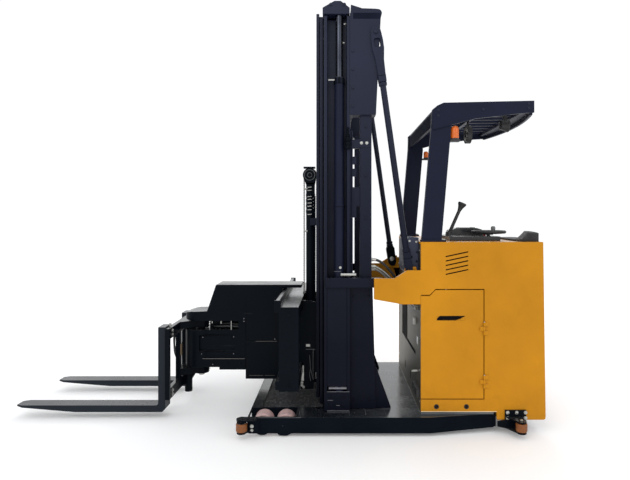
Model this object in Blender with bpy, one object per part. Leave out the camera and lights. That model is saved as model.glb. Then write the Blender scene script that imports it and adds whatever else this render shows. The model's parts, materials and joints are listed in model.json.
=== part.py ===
"""Stand-on very narrow aisle reach truck with a triplex mast and a swivel fork head.

Metres, +Z up. The forks point along -X, the operator stands at +X, and the left side
of the truck faces -Y. The long side dimensions are measured from the mast datum, a
cross line just behind the front flange of the fixed mast stage.
"""
import math

import bmesh
import bpy
from mathutils import Matrix, Vector

# Clearances
SEAT = 0.0003          # between pieces that rest on or in each other
RUN = 0.0007           # between a pin or rod and the bore it turns or slides in
PLAY = 0.006           # between pieces that swing or slide past each other

# Widths across the truck, all from the half width of the body
BODY_HALF = 0.625
PANEL = 0.020          # thickness of the body sides
ARM_INNER = BODY_HALF - 0.028
MAST_HALF = ARM_INNER - 0.027
HALF_WIDTH = BODY_HALF + 0.060

# Chassis
DECK_TOP = 0.132
DECK_PLATE = 0.014
SIDE_PLATE = 0.020
SKIRT_BOTTOM = 0.023
FRAME_FRONT = -0.602
FRAME_REAR = 1.110
TAPER_START = 0.655    # from here back the sides lean inward and the bottom edge rises
TAPER_IN = 0.073
TAPER_RISE = 0.014
INNER_RAIL = HALF_WIDTH - 0.190    # outer face of the long inner rails
SLOT_FRONT = -0.592
SLOT_REAR = -0.268
REAR_DECK_TOP = 0.300
REAR_HALF = BODY_HALF - PANEL
REAR_END = 1.440
REAR_WALL_BOTTOM = 0.110

# Load wheels
LOAD_RADIUS = 0.068
LOAD_WIDTH = 0.110
LOAD_Y = HALF_WIDTH - 0.105
LOAD_X = (-0.500, -0.345)
LOAD_AXLE = 0.015

# Guide rollers
GUIDE_RADIUS = 0.038
GUIDE_Y = HALF_WIDTH + 0.030
GUIDE_PIN = 0.008
GUIDE_LUG = 0.010
GUIDE_FRONT_X = -0.635
GUIDE_REAR_X = 1.268
GUIDE_Z = (0.051, 0.107)

# Mast profiles: X of the outer faces of both flanges, flange tips and web across
FLANGE = 0.022
WEB = 0.012
OUTER_X = (-0.078, 0.106)
OUTER_TIPS = (MAST_HALF - 0.130, MAST_HALF)
OUTER_WEB = MAST_HALF - 0.092
MIDDLE_X = (-0.110, 0.074)
MIDDLE_TIPS = (MAST_HALF - 0.210, MAST_HALF - 0.102)
MIDDLE_WEB = MAST_HALF - 0.154
INNER_X = (-0.138, 0.042)
INNER_TIPS = (MAST_HALF - 0.290, MAST_HALF - 0.166)
INNER_WEB = MAST_HALF - 0.234
OUTER_TOP = 2.930
MIDDLE_TOP = OUTER_TOP + 0.015
INNER_TOP = OUTER_TOP + 0.080
CAP_RIDGE = OUTER_TOP + 0.108
STAGE_FOOT = 0.020     # each stage starts this much above the one round it

# Mast supports behind the channels
FOOT_TOP = 0.270
BOX_TOP = 1.000
BOX_REAR = (0.294, 0.270)
# Side outline of the triangular web behind the foot
FOOT_WEB = ((0.250, 0.1323), (0.402, 0.1323), (0.402, 0.140), (0.291, 0.442), (0.250, 0.442))
POST_X = (0.178, 0.260)
POST_TOP = 2.230
GUSSET_REAR = (0.290, 0.325)
GUSSET_TOP = OUTER_TOP + 0.020
POST_Y = (MAST_HALF - 0.100, MAST_HALF - 0.018)
CROWN_REAR = 0.332     # rounded rear end of the plate on top of the gusset
HOOP_Z = (1.010, 1.078)
HOOP_X = (-0.066, 0.330)
COVER_Z = (0.310, 1.010)

# Main lift cylinders in the outer recess of the channels
LIFT_X = 0.030
LIFT_Y = MAST_HALF - 0.040
LIFT_RADIUS = 0.034
LIFT_COLLAR = 0.037
LIFT_ROD = 0.025
LIFT_TOP = OUTER_TOP - 0.430

# Free lift cylinder on the inner stage
FREE_X = -0.200
FREE_RADIUS = 0.036
FREE_COLLAR = 0.038
FREE_ROD = 0.020
FREE_TOP = OUTER_TOP - 1.210
FREE_CLAMP = (FREE_TOP - 0.280, FREE_TOP - 0.220)
FREE_FOOT = 0.200
PULLEY_X = -0.201
PULLEY_Z = FREE_TOP + 0.130
PULLEY_RADIUS = 0.045
CHAIN = 0.012
CHAIN_HALF = 0.012
CHAIN_TAIL = 0.800

# Traverse frame
FRAME_X = (-0.385, -0.249)
BEAM_LOW = (0.308, 0.396)
BEAM_HIGH = (0.800, 0.888)
RAIL_FRONT = -0.411
RAIL_HIGH = (0.860, 0.930)
RAIL_LOW = (0.320, 0.380)
END_POST = 0.040
CARRIER_PLATE = (MAST_HALF - 0.320, MAST_HALF - 0.298)

# Sliding head
HEAD_HALF = 0.118
HEAD_BACK = -0.420
HEAD_STEP = -0.711
HEAD_BOTTOM = 0.221
HEAD_SEAM = 0.520
HEAD_REBATE = (0.003, 0.006)    # depth and height of the rebate under the seam
HOOD_TOP = 0.970
HOOD_LIP = 0.025
HOOD_REAR = -0.265
HOOD_FRONT = -0.947
NOSE_START = -1.019
NOSE_END = -1.148
NOSE_TIP = -1.206
NOSE_Z = (0.680, 0.754)
ARM_FRONT = -1.135
ARM_Z = (0.381, 0.608)
ARM_HALF = 0.104
ARM_FLANGE = 0.314
ROTARY_RADIUS = 0.125  # housing of the swivel drive round the pivot
VALVE_X = (-1.015, -0.751)

# Swivelling fork carrier
PIVOT_X = -1.090
PIVOT_PIN = 0.030
KNUCKLE = 0.062
KNUCKLE_HIGH = (0.615, 0.672)
KNUCKLE_LOW = (0.245, 0.300)
CARRIER_BACK = -1.235
CARRIER_FRONT = -1.270
CARRIER_HALF = 0.372
CARRIER_Z = (0.140, 0.672)
CARRIER_BAR = 0.080
SWIVEL_BOSS = (-1.196, 0.030, 0.088)    # X, radius and lower end of the boss under the carrier
FORK_Y = 0.300
FORK_WIDTH = 0.122
FORK_THICK = 0.051
FORK_BOTTOM = 0.047
FORK_TOP = 0.682
FORK_SHANK = -1.324
FORK_TIP = -2.394
FORK_TIP_THICK = 0.014
FORK_TAPER = 0.450

# Body
BODY_FRONT = 0.599
BODY_REAR = 1.453
BODY_FOOT_REAR = 1.470
BODY_TOP = 1.333
BODY_BOTTOM = 0.148
BODY_SKIRT = 0.092
SKIRT_START = 1.130
FOOT_ROUND = 0.018     # round lower rear corner of the sides
SHEET = 0.012
ARM_TIP = 0.273
BAY_FRONT = 1.060
BAY_SIDE = -0.040
BAY_SILL = 0.360
HOLE_Z = 0.185
DOOR_X = (0.599, 1.036)
DOOR_Z = (0.240, 0.998)
DOOR_STEP = (0.662, 0.702, 0.957)
HINGE_RADIUS = 0.0075
HINGE_HEIGHT = 0.030
HINGE_Z = (0.360, 0.730)
BATTERY_X = (0.625, 1.030)
BATTERY_HALF = BODY_HALF - PANEL - 0.025
BATTERY_TOP = 0.800

# Stay rods between the mast head and the body arms
STAY_Y = ARM_INNER - 0.032
STAY_HIGH = (0.288, GUSSET_TOP - 0.139)
STAY_LOW = (0.524, 1.125)
STAY_RADIUS = 0.022
STAY_PIN = 0.012
STAY_PLATE = 0.020
STAY_CHEEK = 0.018
STAY_FORK_HIGH = 0.340  # the long upper fork clears the edge of the gusset
STAY_FORK_LOW = 0.120
STAY_WIDTH = 0.026      # half width of a plain fork
# Distance along the stay from the eye and half width there, of the swollen upper fork
STAY_SWELL = ((0.0, 0.036), (0.060, 0.042), (0.120, 0.042), (0.200, 0.030))
STAY_WINDOW = ((0.045, 0.107), 0.023, 0.014)    # reach along the stay, half width, corner radius

# Overhead guard
GUARD_HALF = BODY_HALF - 0.010
GUARD_PLATE = 0.025
PILLAR_LOW = (0.608, 0.747)
PILLAR_HIGH = (0.676, 0.815)
PILLAR_Z = 2.130
PILLAR_INNER = GUARD_HALF - 0.055
GUARD_BARS = 9
GUARD_BAR = 0.026

# Drive and caster
DRIVE_X = 1.260
DRIVE_Y = -0.300
DRIVE_RADIUS = 0.125
DRIVE_WIDTH = 0.080
DRIVE_AXLE = 0.018
TURRET_RADIUS = 0.100
MOTOR_TOP = 0.640
CASTER_X = 1.220
CASTER_Y = 0.300
CASTER_TRAIL = 0.035
CASTER_RADIUS = 0.075
CASTER_WIDTH = 0.050
CASTER_AXLE = 0.010
STEM_RADIUS = 0.020

# Hoses from the mast to the body: distance across, and steps along each
HOSES = (("mast_hose_outer", 0.100 - MAST_HALF), ("mast_hose_inner", 0.135 - MAST_HALF))
HOSE_STEPS = 14

# Indicator lamps: name, side, radius, height
INDICATORS = (("indicator_left", -1, 0.028, 0.100), ("indicator_right", 1, 0.022, 0.070))

# Controls
WHEEL_X = 1.165
WHEEL_Y = -0.300
WHEEL_Z = 1.395
WHEEL_RADIUS = 0.130
WHEEL_RIM = 0.012
PAD_X = (1.306, 1.440)
PAD_TOP = 1.410

MIDDLE_FOOT = DECK_TOP + STAGE_FOOT
INNER_FOOT = MIDDLE_FOOT + STAGE_FOOT
DATUM_SHIFT = -(FORK_TIP + BODY_FOOT_REAR) / 2
SIDES = (("left", -1), ("right", 1))

# Finish name: red, green, blue, roughness, metallic
FINISHES = {
    "deck_grey": (0.36, 0.38, 0.40, 0.55, 0.4),
    "mast_navy": (0.022, 0.026, 0.050, 0.40, 0.3),
    "guard_navy": (0.025, 0.030, 0.055, 0.45, 0.2),
    "head_black": (0.012, 0.018, 0.024, 0.35, 0.3),
    "body_orange": (0.58, 0.24, 0.025, 0.42, 0.0),
    "roller_orange": (0.60, 0.18, 0.02, 0.50, 0.0),
    "tread_beige": (0.62, 0.42, 0.32, 0.60, 0.0),
    "plate_steel": (0.55, 0.55, 0.55, 0.35, 0.9),
    "cylinder_black": (0.015, 0.015, 0.018, 0.35, 0.4),
    "rod_chrome": (0.80, 0.80, 0.82, 0.12, 1.0),
    "trim_black": (0.02, 0.02, 0.022, 0.65, 0.0),
    "cover_grey": (0.05, 0.06, 0.10, 0.50, 0.0),
    "fork_steel": (0.05, 0.055, 0.065, 0.45, 0.6),
    "lamp_amber": (0.85, 0.20, 0.02, 0.30, 0.0),
    "lamp_dark": (0.03, 0.03, 0.035, 0.40, 0.2),
    "mat_rubber": (0.03, 0.03, 0.03, 0.80, 0.0),
}


def finish(name):
    """The named finish as a material with a Principled BSDF."""
    known = bpy.data.materials.get(name)
    if known:
        return known
    red, green, blue, rough, metal = FINISHES[name]
    made = bpy.data.materials.new(name)
    made.use_nodes = True
    shader = made.node_tree.nodes["Principled BSDF"]
    shader.inputs["Base Color"].default_value = (red, green, blue, 1)
    shader.inputs["Roughness"].default_value = rough
    shader.inputs["Metallic"].default_value = metal
    return made


def prism(axis, outline, low, high):
    """A closed prism: the outline lies across the axis and runs from low to high."""
    corner = {
        "X": lambda u, v: (low, u, v),
        "Y": lambda u, v: (u, low, v),
        "Z": lambda u, v: (u, v, low),
    }[axis]
    way = {"X": (1, 0, 0), "Y": (0, 1, 0), "Z": (0, 0, 1)}[axis]
    bm = bmesh.new()
    face = bm.faces.new([bm.verts.new(corner(u, v)) for u, v in outline])
    grown = bmesh.ops.extrude_face_region(bm, geom=[face])["geom"]
    verts = [item for item in grown if isinstance(item, bmesh.types.BMVert)]
    bmesh.ops.translate(bm, verts=verts, vec=Vector(way) * (high - low))
    bmesh.ops.recalc_face_normals(bm, faces=bm.faces)
    return bm


def block(x, y, z):
    """A box from three (low, high) pairs."""
    return prism("Z", [(x[0], y[0]), (x[1], y[0]), (x[1], y[1]), (x[0], y[1])], z[0], z[1])


def side(sign, low, high):
    """The (low, high) pair across the truck for one side."""
    return (low, high) if sign > 0 else (-high, -low)


def plate(outline, sign, low, high):
    """An upright plate of the given side outline, between two distances from the middle."""
    low, high = side(sign, low, high)
    return prism("Y", outline, low, high)


def bar(start, end, radius, sides=16):
    """A round bar between two points."""
    start, end = Vector(start), Vector(end)
    way = end - start
    turn = way.to_track_quat("Z", "X").to_matrix().to_4x4()
    matrix = Matrix.Translation((start + end) / 2) @ turn
    bm = bmesh.new()
    bmesh.ops.create_cone(bm, cap_ends=True, segments=sides, radius1=radius,
                          radius2=radius, depth=way.length, matrix=matrix)
    return bm


def turned(profile, centre, axis="Z", sides=32):
    """A closed turned solid; the profile is (radius, height) pairs along the axis."""
    turn = {"X": Matrix.Rotation(math.pi / 2, 4, "Y"),
            "Y": Matrix.Rotation(-math.pi / 2, 4, "X"),
            "Z": Matrix.Identity(4)}[axis]
    matrix = Matrix.Translation(centre) @ turn
    bm = bmesh.new()
    rings = []
    for radius, height in profile:
        if radius == 0:
            rings.append([bm.verts.new(matrix @ Vector((0, 0, height)))])
            continue
        angles = [math.tau * step / sides for step in range(sides)]
        rings.append([bm.verts.new(matrix @ Vector((radius * math.cos(a), radius * math.sin(a), height)))
                      for a in angles])
    ringed = list(zip(rings, rings[1:]))
    if profile[0][0] > 0:
        ringed.append((rings[-1], rings[0]))
    for lower, upper in ringed:
        for step in range(sides):
            corners = [lower[step % len(lower)], lower[(step + 1) % len(lower)],
                       upper[(step + 1) % len(upper)], upper[step % len(upper)]]
            bm.faces.new(list(dict.fromkeys(corners)))
    bmesh.ops.recalc_face_normals(bm, faces=bm.faces)
    return bm


def arc(centre, radius, start, end, steps):
    """Points of an arc in degrees, both ends included."""
    angles = [math.radians(start + (end - start) * step / steps) for step in range(steps + 1)]
    return [(centre[0] + radius * math.cos(a), centre[1] + radius * math.sin(a)) for a in angles]


def raw(name, bm):
    """A plain object made from a bmesh."""
    mesh = bpy.data.meshes.new(name)
    bm.to_mesh(mesh)
    bm.free()
    made = bpy.data.objects.new(name, mesh)
    bpy.context.scene.collection.objects.link(made)
    return made


def combine(target, tool, operation):
    """Union or difference of two objects, kept in the first; the second is removed."""
    step = target.modifiers.new("combine", "BOOLEAN")
    step.operation = operation
    step.solver = "EXACT"
    step.object = tool
    graph = bpy.context.evaluated_depsgraph_get()
    merged = bpy.data.meshes.new_from_object(target.evaluated_get(graph))
    target.modifiers.remove(step)
    target.data = merged
    bpy.data.objects.remove(tool)


def part(name, look, solids, cuts=(), origin=(0, 0, 0), round_angle=None):
    """One node: the solids united, the cuts taken out, the origin where it turns."""
    made = raw(name, solids[0])
    for solid in solids[1:]:
        combine(made, raw("tool", solid), "UNION")
    for cut in cuts:
        combine(made, raw("tool", cut), "DIFFERENCE")
    made.data.transform(Matrix.Translation(-Vector(origin)))
    made.location = origin
    made.parent = TRUCK
    made.data.materials.clear()
    made.data.materials.append(finish(look))
    made.data.name = name
    if round_angle:
        made.data.shade_smooth()
        made.data.set_sharp_from_angle(angle=math.radians(round_angle))
    return made


for old in list(bpy.data.objects):
    bpy.data.objects.remove(old)
TRUCK = bpy.data.objects.new("truck_datum", None)
TRUCK.location = (DATUM_SHIFT, 0, 0)
bpy.context.scene.collection.objects.link(TRUCK)


def base_frame():
    """Platform chassis: side skirts, deck, rails, wheel slots with axles, rear deck."""
    skirt = [(FRAME_FRONT, DECK_TOP), (FRAME_FRONT, SKIRT_BOTTOM + 0.010),
             (FRAME_FRONT + 0.010, SKIRT_BOTTOM), (TAPER_START, SKIRT_BOTTOM), (TAPER_START, DECK_TOP)]
    rear_half = HALF_WIDTH - TAPER_IN
    deck_low = DECK_TOP - DECK_PLATE
    inside = HALF_WIDTH - SIDE_PLATE / 2
    rail_z = (SKIRT_BOTTOM + 0.012, deck_low + 0.004)
    rail_end = FRAME_REAR - 0.010
    rear_inside = rear_half - SIDE_PLATE / 2
    deck = [(FRAME_FRONT, -inside), (TAPER_START, -inside), (FRAME_REAR, -rear_inside),
            (FRAME_REAR, rear_inside), (TAPER_START, inside), (FRAME_FRONT, inside)]
    solids = [prism("Z", deck, deck_low, DECK_TOP)]
    for name, sign in SIDES:
        solids.append(plate(skirt, sign, HALF_WIDTH - SIDE_PLATE, HALF_WIDTH))
        leaning = [(TAPER_START - 0.001, HALF_WIDTH - SIDE_PLATE), (TAPER_START - 0.001, HALF_WIDTH),
                   (TAPER_START, HALF_WIDTH), (FRAME_REAR, rear_half), (FRAME_REAR, rear_half - SIDE_PLATE),
                   (TAPER_START, HALF_WIDTH - SIDE_PLATE)]
        solids.append(prism("Z", [(u, sign * v) for u, v in leaning], SKIRT_BOTTOM, DECK_TOP))
        solids.append(block((FRAME_FRONT, rail_end), side(sign, INNER_RAIL - SIDE_PLATE, INNER_RAIL), rail_z))
    cross_half = INNER_RAIL - SIDE_PLATE / 2
    for front in (FRAME_FRONT, SLOT_REAR + 0.010, 0.100, BODY_FRONT - 0.010, rail_end - 0.010):
        solids.append(block((front, front + 0.010), (-cross_half, cross_half), rail_z))
    # Rear deck above the drive wheel and the caster, with its side and rear walls
    rear_low = REAR_DECK_TOP - DECK_PLATE
    wall_in = REAR_HALF - 0.020
    step = (FRAME_REAR - SIDE_PLATE, FRAME_REAR)
    solids.append(block((step[0] - 0.050, REAR_END), (-REAR_HALF, REAR_HALF), (rear_low, REAR_DECK_TOP)))
    solids.append(block(step, (-REAR_HALF, REAR_HALF), (deck_low, rear_low + 0.004)))
    solids.append(block((REAR_END - 0.020, REAR_END), (-REAR_HALF, REAR_HALF),
                        (REAR_WALL_BOTTOM, rear_low + 0.004)))
    for name, sign in SIDES:
        solids.append(block((step[0], REAR_END), side(sign, wall_in, REAR_HALF),
                            (REAR_WALL_BOTTOM, rear_low + 0.004)))
    cuts = []
    for name, sign in SIDES:
        slot = side(sign, INNER_RAIL, HALF_WIDTH - SIDE_PLATE)
        cuts.append(block((SLOT_FRONT, SLOT_REAR), slot, (0, DECK_TOP + 0.010)))
    under = SKIRT_BOTTOM - 0.010
    rise = [(TAPER_START, under), (TAPER_START, SKIRT_BOTTOM), (FRAME_REAR, SKIRT_BOTTOM + TAPER_RISE),
            (FRAME_REAR + 0.010, SKIRT_BOTTOM + TAPER_RISE), (FRAME_REAR + 0.010, under)]
    cuts.append(prism("Y", rise, -HALF_WIDTH - 0.010, HALF_WIDTH + 0.010))
    cuts.append(turned([(0, rear_low - 0.01), (TURRET_RADIUS, rear_low - 0.01),
                        (TURRET_RADIUS, REAR_DECK_TOP + 0.01), (0, REAR_DECK_TOP + 0.01)],
                       (DRIVE_X, DRIVE_Y, 0)))
    cuts.append(bar((CASTER_X, CASTER_Y, rear_low - 0.01), (CASTER_X, CASTER_Y, REAR_DECK_TOP + 0.01),
                    STEM_RADIUS + RUN, 24))
    made = part("base_frame", "deck_grey", solids, cuts)
    # Axles are let into the skirt and the rail after the slots are cut
    for name, sign in SIDES:
        for x in LOAD_X:
            low, high = side(sign, INNER_RAIL - 0.010, HALF_WIDTH - 0.010)
            weld(made, bar((x, low, LOAD_RADIUS), (x, high, LOAD_RADIUS), LOAD_AXLE, 20))
        front_guide_bracket(made, sign)
    return made


def weld(made, solid):
    """Unites one more solid, given in truck coordinates, with a part whose origin is the datum."""
    tool = raw("tool", solid)
    tool.location = TRUCK.location
    bpy.context.view_layer.update()
    combine(made, tool, "UNION")


def guide_lugs(sign, x, inner, reach):
    """Two rounded lugs with the pin of a guide roller; reach is their width at the frame."""
    gap = 0.004
    low = (GUIDE_Z[0] - gap - GUIDE_LUG, GUIDE_Z[0] - gap)
    high = (GUIDE_Z[1] + gap, GUIDE_Z[1] + gap + GUIDE_LUG)
    outline = arc((x, GUIDE_Y), GUIDE_RADIUS - 0.005, 180, 0, 8)
    outline += [(reach[1], inner + 0.012), (reach[1], inner), (reach[0], inner), (reach[0], inner + 0.012)]
    shapes = [prism("Z", [(u, sign * v) for u, v in outline], *level) for level in (low, high)]
    shapes.append(bar((x, sign * GUIDE_Y, low[0]), (x, sign * GUIDE_Y, high[1] + 0.004), GUIDE_PIN, 16))
    return shapes


def front_guide_bracket(made, sign):
    """Bracket welded to the front corner of the chassis that carries a guide roller."""
    x = GUIDE_FRONT_X
    outer = HALF_WIDTH + 0.012
    foot = (FRAME_FRONT + 0.018, FRAME_FRONT + 0.080)
    weld(made, block(foot, side(sign, HALF_WIDTH - 0.004, outer), (SKIRT_BOTTOM + 0.004, DECK_TOP - 0.004)))
    for solid in guide_lugs(sign, x, HALF_WIDTH - 0.004, (x - 0.010, foot[1] - 0.010)):
        weld(made, solid)


def rear_guide_bracket(name, sign):
    """Bracket bolted outside the body skirt that carries the rear guide roller."""
    inner = BODY_HALF + SEAT
    x = GUIDE_REAR_X
    outline = [(1.182, 0.165), (1.330, 0.165), (1.330, 0.080), (1.302, 0.037), (1.190, 0.037), (1.130, 0.050),
               (1.130, 0.086), (1.182, 0.098)]
    solids = [plate(outline, sign, inner, inner + 0.010)]
    solids += guide_lugs(sign, x, inner, (x - 0.078, x + 0.034))
    return part(name, "cylinder_black", solids)


def guide_roller(name, sign, x):
    """Orange polymer roller on an upright pin."""
    bore = GUIDE_PIN + RUN
    middle = (GUIDE_Z[0] + GUIDE_Z[1]) / 2
    half = (GUIDE_Z[1] - GUIDE_Z[0]) / 2
    profile = [(bore, -half), (GUIDE_RADIUS - 0.006, -half), (GUIDE_RADIUS, -half + 0.008),
               (GUIDE_RADIUS, half - 0.008), (GUIDE_RADIUS - 0.006, half), (bore, half)]
    origin = (x, sign * GUIDE_Y, middle)
    return part(name, "roller_orange", [turned(profile, origin, "Z", 22)], origin=origin, round_angle=35)


def load_wheel(name, sign, x):
    """Polyurethane load wheel with a shallow dish on each face."""
    bore = LOAD_AXLE + RUN
    half = LOAD_WIDTH / 2
    dish = 0.006
    profile = [(bore, -half + dish), (LOAD_RADIUS * 0.68, -half + dish), (LOAD_RADIUS * 0.74, -half),
               (LOAD_RADIUS - 0.004, -half), (LOAD_RADIUS, -half + dish)]
    profile += [(radius, -height) for radius, height in reversed(profile)]
    origin = (x, sign * LOAD_Y, LOAD_RADIUS)
    return part(name, "tread_beige", [turned(profile, origin, "Y", 28)], origin=origin, round_angle=35)


def channel(sign, x, tips, web, low, high):
    """One upright of a mast stage: front and rear flange joined by a web."""
    front, rear = x
    outline = [(front, tips[0]), (front + FLANGE, tips[0]), (front + FLANGE, web),
               (rear - FLANGE, web), (rear - FLANGE, tips[0]), (rear, tips[0]),
               (rear, tips[1]), (rear - FLANGE, tips[1]), (rear - FLANGE, web + WEB),
               (front + FLANGE, web + WEB), (front + FLANGE, tips[1]), (front, tips[1])]
    return prism("Z", [(u, sign * v) for u, v in outline], low, high)


def mast_outer():
    """Fixed stage: channels, feet, rear supports, gussets, cross beams and hoops."""
    foot = DECK_TOP + SEAT
    rear = OUTER_X[1]
    solids = []
    for name, sign in SIDES:
        solids.append(channel(sign, OUTER_X, OUTER_TIPS, OUTER_WEB, foot, OUTER_TOP))
        solids.append(block((OUTER_X[0] + FLANGE, rear - 0.004), side(sign, OUTER_WEB, OUTER_TIPS[1]),
                            (foot, FOOT_TOP)))
        support = [(rear - 0.001, foot), (BOX_REAR[0], foot), (BOX_REAR[1], BOX_TOP), (rear - 0.001, BOX_TOP)]
        solids.append(plate(support, sign, MAST_HALF - 0.120, MAST_HALF - 0.050))
        solids.append(plate(FOOT_WEB, sign, MAST_HALF - 0.085, MAST_HALF - 0.065))
        solids.append(block(POST_X, side(sign, *POST_Y), (BOX_TOP - 0.010, POST_TOP + 0.010)))
        for low, high in ((1.585, 1.720), (2.000, 2.060)):
            solids.append(block((rear - 0.001, POST_X[0] + 0.010),
                                side(sign, POST_Y[0] + 0.010, POST_Y[1] - 0.007), (low, high)))
        gusset = [(rear - 0.001, POST_TOP), (GUSSET_REAR[0], POST_TOP), (GUSSET_REAR[1], GUSSET_TOP),
                  (rear - 0.001, GUSSET_TOP)]
        solids.append(plate(gusset, sign, STAY_Y - STAY_PLATE / 2, STAY_Y + STAY_PLATE / 2))
        solids.append(block((rear - 0.001, GUSSET_REAR[0]), side(sign, POST_Y[0], STAY_Y),
                            (POST_TOP, POST_TOP + 0.014)))
        crown_front = rear + PLAY
        crown = [(crown_front, GUSSET_TOP - 0.002), (crown_front, GUSSET_TOP + 0.060),
                 (crown_front + 0.080, GUSSET_TOP + 0.034), (CROWN_REAR - 0.047, GUSSET_TOP + 0.031)]
        crown += arc((CROWN_REAR - 0.030, GUSSET_TOP), 0.030, 66, -20, 5)
        crown += [(GUSSET_REAR[1] - 0.006, GUSSET_TOP - 0.048), (CROWN_REAR - 0.060, GUSSET_TOP - 0.002)]
        solids.append(plate(crown, sign, OUTER_TIPS[0] - 0.030, MAST_HALF + 0.004))
        solids.append(block((rear - 0.001, rear + 0.020), side(sign, OUTER_TIPS[0], STAY_Y),
                            (POST_TOP, GUSSET_TOP)))
        solids.append(block(HOOP_X, side(sign, OUTER_TIPS[1] - 0.002, ARM_INNER - SEAT), HOOP_Z))
        solids.append(block((OUTER_X[0] + FLANGE - 0.001, rear - FLANGE + 0.001),
                            side(sign, MAST_HALF - 0.0055, MAST_HALF - 0.0005), COVER_Z))
        # Wear pad that guides the web of the middle stage
        solids.append(block((OUTER_X[0], OUTER_X[0] + FLANGE),
                            side(sign, MIDDLE_WEB + WEB + SEAT, OUTER_TIPS[0] + 0.001),
                            (OUTER_TOP - 0.130, OUTER_TOP - 0.010)))
    tie_half = MAST_HALF - 0.070
    for low, high in ((foot, FOOT_TOP + 0.010), (BOX_TOP - 0.100, BOX_TOP - 0.010), (1.600, 1.690),
                      (POST_TOP + 0.020, POST_TOP + 0.100), (OUTER_TOP - 0.090, OUTER_TOP)):
        solids.append(block((rear - 0.002, rear + 0.024), (-tie_half, tie_half), (low, high)))
    solids.append(block((rear + 0.010, POST_X[0] + 0.022), (0.110 - MAST_HALF, MAST_HALF - 0.110),
                        (foot, foot + 0.012)))
    cuts = []
    for name, sign in SIDES:
        low, high = side(sign, STAY_Y - 0.05, STAY_Y + 0.05)
        x, z = STAY_HIGH
        cuts.append(bar((x, low, z), (x, high, z), STAY_PIN + RUN, 20))
    return part("mast_outer", "mast_navy", solids, cuts)


def lift_barrel(name, sign):
    """Main lift cylinder, hollow for its rod, in the outer recess of the fixed stage."""
    low = FOOT_TOP + SEAT
    bore = LIFT_ROD + RUN
    clamp = LIFT_TOP - 0.940
    profile = [(0, low), (LIFT_RADIUS, low), (LIFT_RADIUS, clamp), (LIFT_COLLAR, clamp + 0.005),
               (LIFT_COLLAR, clamp + 0.040), (LIFT_RADIUS, clamp + 0.045), (LIFT_RADIUS, LIFT_TOP - 0.045),
               (LIFT_COLLAR, LIFT_TOP - 0.040), (LIFT_COLLAR, LIFT_TOP), (bore, LIFT_TOP),
               (bore, low + 0.060), (0, low + 0.060)]
    return part(name, "cylinder_black", [turned(profile, (LIFT_X, sign * LIFT_Y, 0), "Z", 20)],
                round_angle=35)


def mast_roller(sign, x, y, z):
    """Bearing roller of a stage, running between the flanges of the stage round it."""
    low, high = side(sign, y[0], y[1])
    radius = (x[1] - x[0]) / 2 - SEAT
    middle = (x[0] + x[1]) / 2
    return bar((middle, low, z), (middle, high, z), radius, 28)


def inside_flanges(x):
    """X of the inner faces of the two flanges of a stage."""
    return (x[0] + FLANGE, x[1] - FLANGE)


def mast_middle():
    """Second stage with its rear ties and the cap that the lift rods push."""
    solids = []
    rear = MIDDLE_X[1]
    for name, sign in SIDES:
        solids.append(channel(sign, MIDDLE_X, MIDDLE_TIPS, MIDDLE_WEB, MIDDLE_FOOT, MIDDLE_TOP + 0.002))
        solids.append(mast_roller(sign, inside_flanges(OUTER_X), (MIDDLE_WEB + 0.004, OUTER_WEB - 0.004),
                                  MIDDLE_FOOT + 0.090))
        cap_rear = OUTER_X[1] - 0.002
        cap = [(-0.088, MIDDLE_TOP), (cap_rear, MIDDLE_TOP), (cap_rear, MIDDLE_TOP + 0.045),
               (0.040, CAP_RIDGE), (-0.004, CAP_RIDGE), (-0.088, MIDDLE_TOP + 0.045)]
        solids.append(plate(cap, sign, INNER_TIPS[1] + PLAY, OUTER_TIPS[1]))
        solids.append(block((MIDDLE_X[0], MIDDLE_X[0] + FLANGE),
                            side(sign, INNER_WEB + WEB + SEAT, MIDDLE_TIPS[0] + 0.001),
                            (MIDDLE_TOP - 0.150, MIDDLE_TOP - 0.030)))
    tie_half = MIDDLE_TIPS[0] + 0.005
    for low, high in ((MIDDLE_FOOT, FOOT_TOP + 0.020), (MIDDLE_TOP / 2, MIDDLE_TOP / 2 + 0.080),
                      (MIDDLE_TOP - 0.305, MIDDLE_TOP - 0.185)):
        solids.append(block((rear - FLANGE, rear), (-tie_half, tie_half), (low, high)))
    return part("mast_middle", "mast_navy", solids)


def lift_rod(name, sign):
    """Chromed rod of a main lift cylinder, up to the cap of the middle stage."""
    low = FOOT_TOP + SEAT + 0.070
    rod = bar((LIFT_X, sign * LIFT_Y, low), (LIFT_X, sign * LIFT_Y, MIDDLE_TOP - SEAT), LIFT_ROD, 24)
    return part(name, "rod_chrome", [rod], round_angle=35)


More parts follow.
